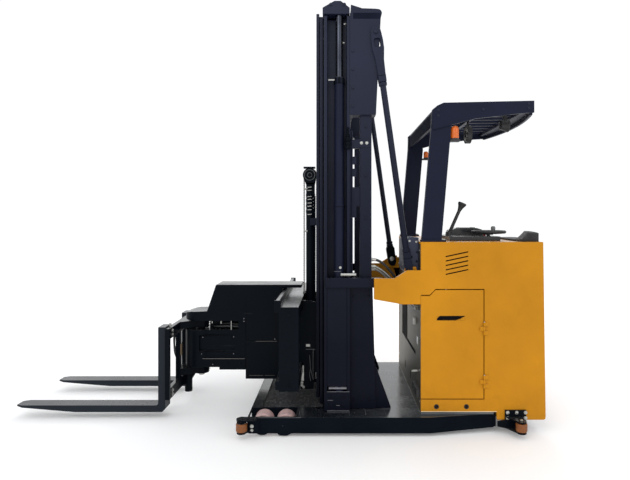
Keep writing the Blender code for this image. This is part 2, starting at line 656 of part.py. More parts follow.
def mast_inner():
    """Third stage with its ties, the foot of the free lift cylinder and its clamp."""
    solids = []
    rear = INNER_X[1]
    for name, sign in SIDES:
        solids.append(channel(sign, INNER_X, INNER_TIPS, INNER_WEB, INNER_FOOT, INNER_TOP))
        solids.append(mast_roller(sign, inside_flanges(MIDDLE_X), (INNER_WEB + 0.004, MIDDLE_WEB - 0.004),
                                  INNER_FOOT + 0.090))
    tie_half = INNER_TIPS[0] + 0.005
    for low, high in ((INNER_FOOT, FOOT_TOP + 0.010), (FREE_CLAMP[0] - 0.020, FREE_CLAMP[1] + 0.020),
                      (INNER_TOP - 0.290, INNER_TOP - 0.170)):
        solids.append(block((rear - FLANGE, rear), (-tie_half, tie_half), (low, high)))
    solids.append(block((FREE_X - FREE_RADIUS, rear - 0.010), (-0.050, 0.050), (INNER_FOOT, FREE_FOOT)))
    solids.append(block((FREE_X, rear - 0.010), (-0.055, 0.055), FREE_CLAMP))
    through = (FREE_CLAMP[0] - 0.010, FREE_CLAMP[1] + 0.010)
    cuts = [bar((FREE_X, 0, through[0]), (FREE_X, 0, through[1]), FREE_RADIUS + SEAT, 24)]
    chain = chain_runs()
    cuts.append(block((FREE_X + FREE_RADIUS * 0.8, chain[1] + CHAIN + PLAY),
                      (-CHAIN_HALF - PLAY, CHAIN_HALF + PLAY), through))
    return part("mast_inner", "mast_navy", solids, cuts)


def chain_runs():
    """X of the front face of the front run and of the back run of the lift chain."""
    return (PULLEY_X - PULLEY_RADIUS - CHAIN, PULLEY_X + PULLEY_RADIUS)


def free_lift_barrel():
    """Free lift cylinder on the foot of the inner stage, with ribs at its gland."""
    low = FREE_FOOT + SEAT
    bore = FREE_ROD + RUN
    ribs_low = FREE_TOP - 0.180
    profile = [(0, low), (FREE_RADIUS, low), (FREE_RADIUS, ribs_low)]
    for rib in range(4):
        base = ribs_low + rib * 0.045
        profile += [(FREE_COLLAR, base + 0.004), (FREE_COLLAR, base + 0.022), (FREE_RADIUS, base + 0.026),
                    (FREE_RADIUS, base + 0.045)]
    profile[-1] = (FREE_RADIUS, FREE_TOP)
    profile += [(bore, FREE_TOP), (bore, low + 0.060), (0, low + 0.060)]
    return part("free_lift_barrel", "cylinder_black", [turned(profile, (FREE_X, 0, 0), "Z", 20)],
                round_angle=35)


def free_lift_head():
    """Rod, cheeks and pulley of the free lift, with the chain round the pulley."""
    cheek_inner = CHAIN_HALF + 0.006
    cheek = [(PULLEY_X - 0.030, PULLEY_Z - 0.090), (PULLEY_X + 0.034, PULLEY_Z - 0.090)]
    cheek += arc((PULLEY_X, PULLEY_Z), 0.050, 0, 180, 8)
    base_low = PULLEY_Z - PULLEY_RADIUS - CHAIN - 0.022
    solids = [bar((FREE_X, 0, FREE_TOP / 2), (FREE_X, 0, base_low + 0.004), FREE_ROD, 20)]
    for name, sign in SIDES:
        solids.append(plate(cheek, sign, cheek_inner, cheek_inner + 0.010))
    solids.append(block((PULLEY_X - 0.030, PULLEY_X + 0.034), (-cheek_inner - 0.010, cheek_inner + 0.010),
                        (base_low, base_low + 0.018)))
    solids.append(bar((PULLEY_X, -cheek_inner - 0.012, PULLEY_Z), (PULLEY_X, cheek_inner + 0.012, PULLEY_Z),
                      0.016, 16))
    solids.append(bar((PULLEY_X, -CHAIN_HALF, PULLEY_Z), (PULLEY_X, CHAIN_HALF, PULLEY_Z),
                      PULLEY_RADIUS, 32))
    reach = PULLEY_RADIUS + CHAIN
    wrap = arc((PULLEY_X, PULLEY_Z), reach, 0, 180, 16)
    wrap += arc((PULLEY_X, PULLEY_Z), PULLEY_RADIUS - 0.001, 180, 0, 16)
    solids.append(prism("Y", wrap, -CHAIN_HALF, CHAIN_HALF))
    back = chain_runs()[1]
    solids.append(block((back, back + CHAIN), (-CHAIN_HALF, CHAIN_HALF), (CHAIN_TAIL, PULLEY_Z + 0.004)))
    return part("free_lift_head", "rod_chrome", solids)


def chain_front():
    """Lift chain from the pulley down to the traverse frame; it shortens as that rises."""
    front = chain_runs()[0]
    run = block((front, front + CHAIN), (-CHAIN_HALF, CHAIN_HALF), (BEAM_HIGH[1] + SEAT, PULLEY_Z - SEAT))
    return part("chain_front", "cylinder_black", [run])


def carriage():
    """Traverse frame with its end posts, rails and stops, on plates that run in the mast."""
    span = (-HALF_WIDTH, HALF_WIDTH)
    front, back = FRAME_X
    solids = [block(FRAME_X, span, BEAM_LOW), block(FRAME_X, span, BEAM_HIGH)]
    solids.append(block((RAIL_FRONT, front + 0.001), span, RAIL_HIGH))
    solids.append(block((RAIL_FRONT, front + 0.001), span, RAIL_LOW))
    plate_z = (BEAM_LOW[0] + 0.010, BEAM_HIGH[1] - 0.020)
    run_x = (INNER_X[0] + FLANGE, INNER_X[1] - FLANGE)
    for name, sign in SIDES:
        solids.append(block(FRAME_X, side(sign, HALF_WIDTH - END_POST, HALF_WIDTH),
                            (BEAM_LOW[0], BEAM_HIGH[1])))
        near, far = front + 0.020, run_x[1] - 0.005
        cheek = [(near, plate_z[0]), (far - 0.015, plate_z[0]), (far, plate_z[0] + 0.030),
                 (far, plate_z[1] - 0.060), (back + 0.060, plate_z[1]), (near, plate_z[1])]
        solids.append(plate(cheek, sign, CARRIER_PLATE[0], CARRIER_PLATE[1]))
        for z in (plate_z[0] + 0.085, plate_z[1] - 0.110):
            solids.append(mast_roller(sign, run_x, (CARRIER_PLATE[1] - 0.004, INNER_WEB - 0.004), z))
        # End stop across the end of the upper rail
        solids.append(block((RAIL_FRONT - 0.006, front + 0.012), side(sign, HALF_WIDTH - 0.012, HALF_WIDTH),
                            (RAIL_HIGH[0] - 0.008, RAIL_HIGH[1] + 0.004)))
    # Lug at the back of the upper beam that holds the end of the lift chain
    lug = (chain_runs()[0] - 0.004, chain_runs()[0] + CHAIN + 0.001)
    solids.append(block(lug, (-0.030, 0.030), (BEAM_HIGH[1] - 0.040, BEAM_HIGH[1])))
    return part("carriage", "head_black", solids)


def head_box():
    """Deep box of the head that slides on the rails, with its gliding pads."""
    outline = [(HEAD_STEP, HEAD_BOTTOM), (HEAD_BACK, HEAD_BOTTOM), (HEAD_BACK, HEAD_SEAM - SEAT),
               (HEAD_STEP, HEAD_SEAM - SEAT)]
    solids = [prism("Y", outline, -HEAD_HALF, HEAD_HALF)]
    pad_z = (RAIL_LOW[0] + 0.005, RAIL_LOW[1] - 0.005)
    solids.append(block((HEAD_BACK - 0.001, RAIL_FRONT - SEAT), (-HEAD_HALF, HEAD_HALF), pad_z))
    # Hook under the lower beam keeps the head on the frame
    hook = [(HEAD_BACK - 0.001, HEAD_BOTTOM + 0.020), (FRAME_X[0] + 0.060, HEAD_BOTTOM + 0.020),
            (FRAME_X[0] + 0.060, BEAM_LOW[0] - SEAT), (FRAME_X[0] + 0.020, BEAM_LOW[0] - SEAT),
            (FRAME_X[0] + 0.006, BEAM_LOW[0] - 0.030), (HEAD_BACK - 0.001, BEAM_LOW[0] - 0.030)]
    solids.append(prism("Y", hook, -HEAD_HALF + 0.020, HEAD_HALF - 0.020))
    deep, tall = HEAD_REBATE
    rebate = (HEAD_SEAM - tall, HEAD_SEAM + 0.010)
    across = (HEAD_HALF - deep, HEAD_HALF + 0.010)
    run = (HEAD_STEP - 0.010, HEAD_BACK - 0.0005)
    cuts = [block(run, side(sign, *across), rebate) for name, sign in SIDES]
    return part("head_box", "head_black", solids, cuts)


def head_hood():
    """Hood with a sloped front and the nose that holds the top of the pivot pin."""
    outline = [(HOOD_REAR, HOOD_TOP - HOOD_LIP), (HOOD_REAR, HOOD_TOP), (HOOD_FRONT, HOOD_TOP),
               (NOSE_START, NOSE_Z[1] + 0.004), (NOSE_END, NOSE_Z[1]), (NOSE_TIP + 0.012, NOSE_Z[1] - 0.010),
               (NOSE_TIP, NOSE_Z[1] - 0.030), (NOSE_TIP + 0.008, NOSE_Z[0] + 0.006), (NOSE_END, NOSE_Z[0]),
               (HEAD_STEP, NOSE_Z[0]), (HEAD_STEP, HEAD_SEAM), (HEAD_BACK, HEAD_SEAM),
               (HEAD_BACK, HOOD_TOP - HOOD_LIP)]
    hood = prism("Y", outline, -HEAD_HALF, HEAD_HALF)
    # Gliding pad under the lip, on the top of the upper rail
    pad = block((RAIL_FRONT, FRAME_X[0]), (-HEAD_HALF + 0.010, HEAD_HALF - 0.010),
                (RAIL_HIGH[1] + SEAT, HOOD_TOP - HOOD_LIP + 0.001))
    # The nose is rounded about the pivot
    reach = PIVOT_X - NOSE_TIP
    rounding = prism("Z", [(NOSE_TIP - 0.05, -0.2), (PIVOT_X, -0.2), (PIVOT_X, -HEAD_HALF - 0.02)]
                     + arc((PIVOT_X, 0), max(reach, HEAD_HALF) + 0.004, 270, 90, 24)
                     + [(PIVOT_X, HEAD_HALF + 0.02), (PIVOT_X, 0.2), (NOSE_TIP - 0.05, 0.2)],
                     NOSE_Z[0] - 0.02, NOSE_Z[1] + 0.02)
    return part("head_hood", "head_black", [hood, pad], [rounding])


def head_arm():
    """Arm of the head with its lower flange and the pin the fork carrier turns on."""
    rear = HEAD_STEP - SEAT
    body = block((ARM_FRONT, rear), (-ARM_HALF, ARM_HALF), (ARM_FLANGE, ARM_Z[1]))
    flange = block((ARM_FRONT, rear), (-HEAD_HALF, HEAD_HALF), (ARM_FLANGE, ARM_Z[0]))
    low_flange = block((-0.920, rear), (-HEAD_HALF, HEAD_HALF), (ARM_FLANGE - 0.020, ARM_Z[0] - 0.010))
    bridge = block((HEAD_STEP - 0.060, rear), (-ARM_HALF, ARM_HALF), (ARM_Z[1] - 0.004, NOSE_Z[0] - SEAT))
    valves = block(VALVE_X, (-0.030, 0.030), (ARM_Z[1] - 0.004, NOSE_Z[0] - SEAT))
    housing = bar((PIVOT_X, 0, ARM_FLANGE), (PIVOT_X, 0, ARM_Z[1]), ROTARY_RADIUS, 36)
    pin = bar((PIVOT_X, 0, KNUCKLE_LOW[0] - 0.008), (PIVOT_X, 0, NOSE_Z[0] - SEAT), PIVOT_PIN, 28)
    cuts = []
    for name, sign in SIDES:
        pocket = side(sign, ARM_HALF - 0.004, ARM_HALF + 0.02)
        cuts.append(block((ARM_FRONT + 0.050, HEAD_STEP - 0.090), pocket,
                          (ARM_Z[0] + 0.060, ARM_Z[1] - 0.040)))
    return part("head_arm", "head_black", [body, flange, low_flange, bridge, valves, housing, pin], cuts)


def knuckle(level):
    """Knuckle of the carrier round the pivot pin."""
    outline = [(CARRIER_FRONT + 0.010, -0.110), (CARRIER_BACK, -0.110), (PIVOT_X - 0.040, -KNUCKLE * 0.85)]
    outline += arc((PIVOT_X, 0), KNUCKLE, -60, 60, 12)
    outline += [(PIVOT_X - 0.040, KNUCKLE * 0.85), (CARRIER_BACK, 0.110), (CARRIER_FRONT + 0.010, 0.110)]
    return prism("Z", outline, level[0], level[1])


def fork_carrier():
    """Frame that carries the forks and turns on the arm's pin."""
    x = (CARRIER_FRONT, CARRIER_BACK)
    span = (-CARRIER_HALF, CARRIER_HALF)
    solids = [block(x, span, (CARRIER_Z[1] - CARRIER_BAR, CARRIER_Z[1])),
              block(x, span, (CARRIER_Z[0], CARRIER_Z[0] + CARRIER_BAR))]
    for name, sign in SIDES:
        solids.append(block(x, side(sign, 0.060, 0.110), CARRIER_Z))
        solids.append(block(x, side(sign, CARRIER_HALF - 0.030, CARRIER_HALF), CARRIER_Z))
    solids += [knuckle(KNUCKLE_HIGH), knuckle(KNUCKLE_LOW)]
    # Web and boss under the lower knuckle
    boss_x, boss_radius, boss_low = SWIVEL_BOSS
    top = KNUCKLE_LOW[0] + 0.001
    back = CARRIER_BACK - 0.001
    web = [(back, CARRIER_Z[0]), (boss_x, CARRIER_Z[0]), (PIVOT_X - 0.040, top), (back, top)]
    solids.append(prism("Y", web, -0.012, 0.012))
    solids.append(bar((boss_x, 0, boss_low), (boss_x, 0, top), boss_radius, 20))
    bore = bar((PIVOT_X, 0, KNUCKLE_LOW[0] - 0.02), (PIVOT_X, 0, KNUCKLE_HIGH[1] + 0.02), PIVOT_PIN + RUN, 28)
    return part("fork_carrier", "head_black", solids, [bore], origin=(PIVOT_X, 0, 0))


def fork(name, sign):
    """L-shaped fork with a tapered tip and an eased heel."""
    back = CARRIER_FRONT - SEAT
    blade_top = FORK_BOTTOM + FORK_THICK
    inner = (FORK_SHANK - 0.020, blade_top + 0.020)
    outline = [(back, FORK_TOP), (FORK_SHANK, FORK_TOP)]
    outline += arc(inner, 0.020, 0, -90, 5)
    outline += [(FORK_TIP + 0.004, blade_top), (FORK_TIP, blade_top - 0.006),
                (FORK_TIP, blade_top - FORK_TIP_THICK), (FORK_TIP + FORK_TAPER, FORK_BOTTOM),
                (back - 0.024, FORK_BOTTOM), (back, FORK_BOTTOM + 0.024)]
    low, high = side(sign, FORK_Y - FORK_WIDTH / 2, FORK_Y + FORK_WIDTH / 2)
    shape = prism("Y", outline, low, high)
    # The point narrows toward the tip
    middle = (low + high) / 2
    cuts = []
    for edge in (-1, 1):
        wide = middle + edge * FORK_WIDTH / 2
        narrow = middle + edge * FORK_WIDTH * 0.30
        corner = [(FORK_TIP - 0.01, wide + edge * 0.01), (FORK_TIP - 0.01, narrow), (FORK_TIP, narrow),
                  (FORK_TIP + 0.050, wide), (FORK_TIP + 0.050, wide + edge * 0.01)]
        cuts.append(prism("Z", corner, 0, FORK_TOP))
    return part(name, "fork_steel", [shape], cuts, origin=(PIVOT_X, 0, 0))


def side_outline(rear_open):
    """Outline of a body side: arm, stepped door opening, skirt and rear edge."""
    door_rear = DOOR_X[1] + PLAY
    step_front, step_rear, step_z = DOOR_STEP
    outline = [(ARM_TIP, 0.932), (0.470, 0.897), (BODY_FRONT, 0.897), (BODY_FRONT, step_z + PLAY),
               (step_front, step_z + PLAY), (step_rear, DOOR_Z[1] + PLAY), (door_rear, DOOR_Z[1] + PLAY),
               (door_rear, DOOR_Z[0] - PLAY), (BODY_FRONT, DOOR_Z[0] - PLAY), (BODY_FRONT, BODY_BOTTOM),
               (SKIRT_START - 0.004, BODY_BOTTOM), (SKIRT_START, BODY_SKIRT)]
    foot_rear = BODY_FOOT_REAR - 0.004 if rear_open else BODY_FOOT_REAR
    outline += arc((foot_rear - FOOT_ROUND, BODY_SKIRT + FOOT_ROUND), FOOT_ROUND, 270, 360, 3)
    if rear_open:
        outline += [(foot_rear, BAY_SILL), (BAY_FRONT, BAY_SILL), (BAY_FRONT, BODY_TOP)]
    else:
        outline += [(BODY_REAR, BODY_TOP)]
    outline += [(BODY_FRONT, BODY_TOP), (BODY_FRONT, 1.135), (0.505, 1.135), (0.415, 1.078), (ARM_TIP, 1.078)]
    return outline


def body_side(name, sign):
    """Orange side of the body with the arm to the mast and the rear guide bracket."""
    outer = BODY_HALF
    inner = BODY_HALF - PANEL
    solids = [plate(side_outline(sign > 0), sign, inner, outer)]
    arm = [(ARM_TIP, 0.932), (0.470, 0.897), (BODY_FRONT, 0.897), (BODY_FRONT, 1.135), (0.505, 1.135),
           (0.415, 1.078), (ARM_TIP, 1.078)]
    solids.append(plate(arm, sign, ARM_INNER, outer))
    x, eye_z = STAY_LOW
    lug = [(x - 0.048, 1.060), (x + 0.070, 1.060), (x + 0.050, eye_z + 0.030), (x - 0.026, eye_z + 0.030)]
    solids.append(plate(lug, sign, STAY_Y - STAY_PLATE / 2, STAY_Y + STAY_PLATE / 2))
    solids.append(plate([(x - 0.048, 1.040), (x + 0.070, 1.040), (x + 0.070, 1.064), (x - 0.048, 1.064)],
                        sign, STAY_Y - STAY_PLATE / 2, ARM_INNER + 0.004))
    # Hinge leaves for the battery door
    hinge_x, hinge_y = hinge_place()
    for z in HINGE_Z:
        for low in (z - 1.5 * HINGE_HEIGHT - SEAT, z + 0.5 * HINGE_HEIGHT + SEAT):
            solids.append(bar((hinge_x, sign * hinge_y, low), (hinge_x, sign * hinge_y, low + HINGE_HEIGHT),
                              HINGE_RADIUS, 12))
            solids.append(block((hinge_x, hinge_x + 0.030), side(sign, outer - 0.001, hinge_y + 0.002),
                                (low, low + HINGE_HEIGHT)))
    cuts = []
    low, high = side(sign, STAY_Y - 0.03, STAY_Y + 0.0310)
    cuts.append(bar((x, low, eye_z), (x, high, eye_z), STAY_PIN + RUN, 20))
    for hole_x in (0.707, 0.916):
        low, high = side(sign, inner - 0.01, outer + 0.01)
        cuts.append(bar((hole_x, low, HOLE_Z), (hole_x, high, HOLE_Z), 0.015, 16))
    if sign < 0:
        for row in range(5):
            drop = 0.031 * row
            louvre = [(0.771, 1.226 - drop), (0.930, 1.260 - drop), (0.930, 1.269 - drop),
                      (0.771, 1.235 - drop)]
            cuts.append(plate(louvre, sign, outer - 0.008, outer + 0.01))
    return part(name, "body_orange", solids, cuts)


def hinge_place():
    """X and distance from the middle of the battery door's hinge axis."""
    return (DOOR_X[1] + PLAY / 2, BODY_HALF + HINGE_RADIUS + 0.001)


def battery_door(name, sign):
    """Battery door with a stepped corner and a sunk handle, hinged at its rear edge."""
    step_front, step_rear, step_z = DOOR_STEP
    outline = [(DOOR_X[0], DOOR_Z[0]), (DOOR_X[1], DOOR_Z[0]), (DOOR_X[1], DOOR_Z[1]),
               (step_rear, DOOR_Z[1]), (step_front, step_z), (DOOR_X[0], step_z)]
    outer = BODY_HALF
    inner = BODY_HALF - PANEL
    hinge_x, hinge_y = hinge_place()
    solids = [plate(outline, sign, inner, outer)]
    for z in HINGE_Z:
        low = z - 0.5 * HINGE_HEIGHT
        solids.append(bar((hinge_x, sign * hinge_y, low), (hinge_x, sign * hinge_y, low + HINGE_HEIGHT),
                          HINGE_RADIUS, 12))
        solids.append(block((hinge_x - 0.030, hinge_x), side(sign, outer - 0.001, hinge_y + 0.002),
                            (low, low + HINGE_HEIGHT)))
    handle = [(0.715, 0.787), (0.906, 0.787), (0.900, 0.812), (0.709, 0.812)]
    cuts = [plate(handle, sign, outer - 0.012, outer + 0.01)]
    return part(name, "body_orange", solids, cuts, origin=(hinge_x, sign * hinge_y, DOOR_Z[0]))


def body_front():
    """Bare steel front wall of the battery bay, with a sunk dark field and two latches."""
    half = BODY_HALF - PANEL - PLAY
    wall = block((BODY_FRONT, BODY_FRONT + SHEET), (-half, half), (DECK_TOP + SEAT, BODY_TOP - 0.018 - SEAT))
    solids = [wall]
    for name, sign in SIDES:
        solids.append(block((BODY_FRONT - 0.016, BODY_FRONT + 0.001), side(sign, half - 0.159, half - 0.099),
                            (0.840, 0.880)))
    field = half - 0.219
    cuts = [block((BODY_FRONT - 0.010, BODY_FRONT + 0.005), (-field, field), (0.300, 0.780))]
    return part("body_front", "plate_steel", solids, cuts)


def body_shell():
    """Top, bulkhead and walls of the drive housing, open to the operator's bay."""
    half = BODY_HALF - PANEL - SEAT
    low = REAR_DECK_TOP + SEAT
    top = (BODY_TOP - 0.018, BODY_TOP)
    bulkhead = (BAY_FRONT - 0.015, BAY_FRONT)
    rear = BODY_REAR
    solids = [block((BODY_FRONT, BAY_FRONT), (-half, half), top),
              block((BAY_FRONT - 0.010, rear - 0.002), (-half, BAY_SIDE), top),
              block(bulkhead, (-half, half), (low, BODY_TOP - 0.004)),
              block((BAY_FRONT - 0.010, rear - 0.003), (BAY_SIDE - SHEET, BAY_SIDE), (low, BODY_TOP - 0.004)),
              block((rear - SHEET - 0.003, rear - 0.003), (-half, BAY_SIDE), (low, BODY_TOP - 0.004))]
    return part("body_shell", "body_orange", solids)


def operator_floor():
    """Rubber mat on the rear deck with the raised foot switch."""
    low = REAR_DECK_TOP + SEAT
    mat = block((BAY_FRONT + SEAT, REAR_END), (BAY_SIDE + SEAT, BODY_HALF - PANEL - SEAT), (low, low + 0.012))
    foot = [(1.120, low + 0.010), (1.230, low + 0.010), (1.230, low + 0.020), (1.120, low + 0.040)]
    pedal = prism("Y", foot, 0.060, 0.200)
    return part("operator_floor", "mat_rubber", [mat, pedal])


def battery():
    """The traction battery as one heavy block."""
    return part("battery", "cover_grey",
                [block(BATTERY_X, (-BATTERY_HALF, BATTERY_HALF), (DECK_TOP + SEAT, BATTERY_TOP))])


def pump_cover():
    """Dark cover over the pump ahead of the body, with a rounded front edge."""
    half = STAY_Y - STAY_PLATE / 2 - STAY_CHEEK - PLAY
    rear = BODY_FRONT - SEAT
    front = 0.500
    round_off = 0.034
    outline = [(rear, 1.090), (rear, 1.360)]
    outline += arc((front + round_off, 1.360 - round_off), round_off, 90, 180, 6)
    outline += [(front, 1.120), (front + 0.030, 1.090)]
    cuts = [bar((front + 0.050, -half - 0.01, 1.150), (front + 0.050, -half + 0.010, 1.150), 0.014, 16)]
    return part("pump_cover", "cover_grey", [prism("Y", outline, -half, half)], cuts)


def stay_rod(name, sign):
    """Stay between the mast head and the body arm, with a forked clevis at each end."""
    high = Vector((STAY_HIGH[0], 0, STAY_HIGH[1]))
    low = Vector((STAY_LOW[0], 0, STAY_LOW[1]))
    way = (low - high).normalized()
    across = Vector((way.z, 0, -way.x))
    wide = STAY_WIDTH + 0.002
    inner = (STAY_Y - STAY_PLATE / 2 - STAY_CHEEK, STAY_Y - STAY_PLATE / 2 - SEAT)
    outer = (STAY_Y + STAY_PLATE / 2 + SEAT, STAY_Y + STAY_PLATE / 2 + STAY_CHEEK)

    def placed(eye, inward, outline):
        """An outline along the stay from an eye, as (X, Z) points."""
        points = [eye + inward * u + across * v for u, v in outline]
        return [(point.x, point.z) for point in points]

    solids = []
    plain = ((0.0, STAY_WIDTH),)
    for eye, inward, reach, shape in ((high, way, STAY_FORK_HIGH, STAY_SWELL),
                                      (low, -way, STAY_FORK_LOW, plain)):
        cheek = [(reach, STAY_WIDTH), (reach, -STAY_WIDTH)] + [(u, -v) for u, v in reversed(shape[1:])]
        cheek += arc((0, 0), shape[0][1], -90, -270, 10) + [(u, v) for u, v in shape[1:]]
        for layer in (inner, outer):
            solids.append(plate(placed(eye, inward, cheek), sign, *layer))
        # The root joins both cheeks to the rod
        root = [(reach - 0.030, -wide), (reach + 0.014, -wide), (reach + 0.014, wide), (reach - 0.030, wide)]
        solids.append(plate(placed(eye, inward, root), sign, inner[0] - 0.001, outer[1] + 0.001))
        near, far = side(sign, inner[0] - 0.006, outer[1] + 0.003)
        solids.append(bar((eye.x, near, eye.z), (eye.x, far, eye.z), STAY_PIN, 14))
    start = high + way * STAY_FORK_HIGH
    end = low - way * STAY_FORK_LOW
    solids.append(bar((start.x, sign * STAY_Y, start.z), (end.x, sign * STAY_Y, end.z), STAY_RADIUS, 16))
    # Window through both cheeks of the upper fork
    (near, far), half, corner = STAY_WINDOW
    window = arc((far - corner, half - corner), corner, 90, 0, 3)
    window += arc((far - corner, corner - half), corner, 0, -90, 3)
    window += arc((near + corner, corner - half), corner, 270, 180, 3)
    window += arc((near + corner, half - corner), corner, 180, 90, 3)
    cut = plate(placed(high, way, window), sign, inner[0] - 0.010, outer[1] + 0.010)
    return part(name, "mast_navy", solids, [cut])


def guard_side(name, sign):
    """Raked pillar and the cantilevered side plate of the overhead guard."""
    low = BODY_TOP + SEAT
    pillar = [(PILLAR_LOW[0], low), (PILLAR_LOW[1], low), (PILLAR_HIGH[1], PILLAR_Z), (0.812, 2.160),
              (0.700, 2.260), (0.680, 2.240), (PILLAR_HIGH[0], PILLAR_Z)]
    wing = [(0.680, 2.116), (0.812, 2.151), (0.986, 2.196), (1.295, 2.232), (1.394, 2.238), (1.394, 2.321),
            (0.760, 2.307), (0.716, 2.287), (0.680, 2.257)]
    foot = block((PILLAR_LOW[0] - 0.004, PILLAR_LOW[1] + 0.030), side(sign, PILLAR_INNER - 0.015, GUARD_HALF),
                 (low, low + 0.014))
    solids = [plate(pillar, sign, PILLAR_INNER, GUARD_HALF - 0.012), foot,
              plate(wing, sign, GUARD_HALF - GUARD_PLATE, GUARD_HALF)]
    return part(name, "guard_navy", solids)


def slat_middle(slat):
    """Y of the middle of a slat of the guard roof."""
    first = GUARD_BAR - (PILLAR_INNER - SEAT)
    return first - slat * 2 * first / (GUARD_BARS - 1)


def guard_roof():
    """Front and rear bars of the guard with the slats between them."""
    half = GUARD_HALF - GUARD_PLATE - SEAT
    front_half = PILLAR_INNER - SEAT
    front = [(0.690, 2.150), (0.712, 2.150), (0.716, 2.262), (0.752, 2.284), (0.752, 2.300), (0.716, 2.284),
             (0.690, 2.262)]
    solids = [prism("Y", front, -front_half, front_half),
              block((1.340, 1.390), (-half, half), (2.262, 2.312)),
              block((0.735, 0.775), (-front_half, front_half), (2.262, 2.300))]
    for slat in range(GUARD_BARS):
        middle = slat_middle(slat)
        solids.append(prism("Y", [(0.760, 2.268), (1.350, 2.276), (1.350, 2.308), (0.760, 2.298)],
                            middle - GUARD_BAR / 2, middle + GUARD_BAR / 2))
    # Cross rail that carries the lamp and the fan
    solids.append(block((1.020, 1.050), (-half, half), (2.246, 2.274)))
    return part("guard_roof", "guard_navy", solids)


def guard_fan():
    """Small cabin fan in its ring, hung under the cross rail of the guard."""
    centre = (1.035, -0.200, 2.150)
    ring = [(0.062, -0.018), (0.070, -0.018), (0.070, 0.018), (0.062, 0.018)]
    solids = [turned(ring, centre, "X", 28),
              bar((centre[0] - 0.030, *centre[1:]), (centre[0] + 0.018, *centre[1:]), 0.024, 20),
              bar((centre[0], centre[1], centre[2] + 0.064), (centre[0], centre[1], 2.246 - SEAT), 0.009, 12)]
    for step in range(3):
        angle = math.radians(30 + 120 * step)
        rim = (centre[0], centre[1] + 0.066 * math.cos(angle), centre[2] + 0.066 * math.sin(angle))
        solids.append(bar(centre, rim, 0.005, 8))
    return part("guard_fan", "trim_black", solids)


def work_lamp():
    """Round work lamp under the rear of the guard."""
    centre = (1.250, slat_middle(1) - 0.020, 2.180)
    shell = [(0, -0.034), (0.030, -0.030), (0.044, 0.010), (0.048, 0.016), (0.048, 0.026), (0.042, 0.026),
             (0.040, 0.020), (0, 0.020)]
    solids = [turned(shell, centre, "X", 28),
              block((centre[0] - 0.012, centre[0] + 0.012), (centre[1] - 0.014, centre[1] + 0.014),
                    (centre[2] + 0.036, 2.2745 - SEAT))]
    return part("work_lamp", "lamp_dark", solids)


def indicator(name, sign, radius, height):
    """Amber lamp on a bracket behind a pillar."""
    centre = (PILLAR_HIGH[1] + 0.030, sign * (PILLAR_INNER + 0.020), 2.050)
    profile = [(0, 0), (radius, 0), (radius, height * 0.72), (radius * 0.7, height * 0.92), (0, height)]
    slope = (PILLAR_HIGH[1] - PILLAR_LOW[1]) / (PILLAR_Z - BODY_TOP)
    edge = PILLAR_HIGH[1] - slope * (PILLAR_Z - centre[2] - 0.001)
    bracket = block((edge + SEAT, centre[0] + radius + 0.005), side(sign, PILLAR_INNER, PILLAR_INNER + 0.040),
                    (centre[2] - 0.012, centre[2] + 0.001))
    return part(name, "lamp_amber", [turned(profile, centre, "Z", 20), bracket], round_angle=40)


def console():
    """Control console on the body with its cowl, column boss and lever."""
    low = BODY_TOP + SEAT
    base = block((0.840, 1.210), (0.175 - BODY_HALF, 0.020), (low, low + 0.032))
    cowl = [(0.900, low + 0.030), (1.175, low + 0.030), (1.160, low + 0.076), (1.120, low + 0.088),
            (0.960, low + 0.088), (0.915, low + 0.070)]
    solids = [base, prism("Y", cowl, -0.145, 0.010)]
    column = [(0, 0), (0.055, 0), (0.040, WHEEL_Z - 0.030 - low), (0, WHEEL_Z - 0.030 - low)]
    solids.append(turned(column, (WHEEL_X, WHEEL_Y, low), "Z", 24))
    solids.append(bar((WHEEL_X, WHEEL_Y, low), (WHEEL_X, WHEEL_Y, WHEEL_Z + 0.006), 0.012, 16))
    solids.append(bar((0.862, -0.300, low + 0.020), (0.862, -0.300, low + 0.062), 0.022, 16))
    solids.append(bar((0.862, -0.300, low + 0.050), (0.945, -0.300, low + 0.225), 0.009, 12))
    solids.append(bar((0.938, -0.300, low + 0.210), (0.965, -0.300, low + 0.268), 0.020, 16))
    return part("console", "trim_black", solids)


def steering_wheel():
    """Steering wheel with three spokes and a knob, on the column's spindle."""
    origin = (WHEEL_X, WHEEL_Y, WHEEL_Z)
    bore = 0.012 + RUN
    ring = WHEEL_RADIUS - WHEEL_RIM
    rim = [(ring + WHEEL_RIM * math.cos(math.tau * step / 8), WHEEL_RIM * math.sin(math.tau * step / 8))
           for step in range(8)]
    hub = [(bore, -0.022), (0.036, -0.022), (0.036, 0.002), (0.026, 0.014), (bore, 0.014)]
    solids = [turned(rim, origin, "Z", 32), turned(hub, origin, "Z", 16)]
    for step in range(3):
        angle = math.radians(90 + 120 * step)
        start = Vector(origin) + Vector((math.cos(angle), math.sin(angle), 0)) * 0.028
        start.z -= 0.006
        end = Vector(origin) + Vector((math.cos(angle), math.sin(angle), 0)) * (ring + 0.002)
        solids.append(bar(start, end, 0.008, 10))
    knob = Vector(origin) + Vector((0, -ring, 0))
    solids.append(bar(knob, knob + Vector((0, 0, 0.045)), 0.016, 16))
    return part("steering_wheel", "trim_black", solids, origin=origin)


def rear_pad():
    """Padded rest on the rear of the body top."""
    low = BODY_TOP + SEAT
    outline = [(PAD_X[0], low), (PAD_X[1], low), (PAD_X[1], PAD_TOP - 0.020), (PAD_X[1] - 0.020, PAD_TOP),
               (PAD_X[0] + 0.030, PAD_TOP), (PAD_X[0], PAD_TOP - 0.030)]
    return part("rear_pad", "trim_black", [prism("Y", outline, 0.030 - BODY_HALF, -0.070)])


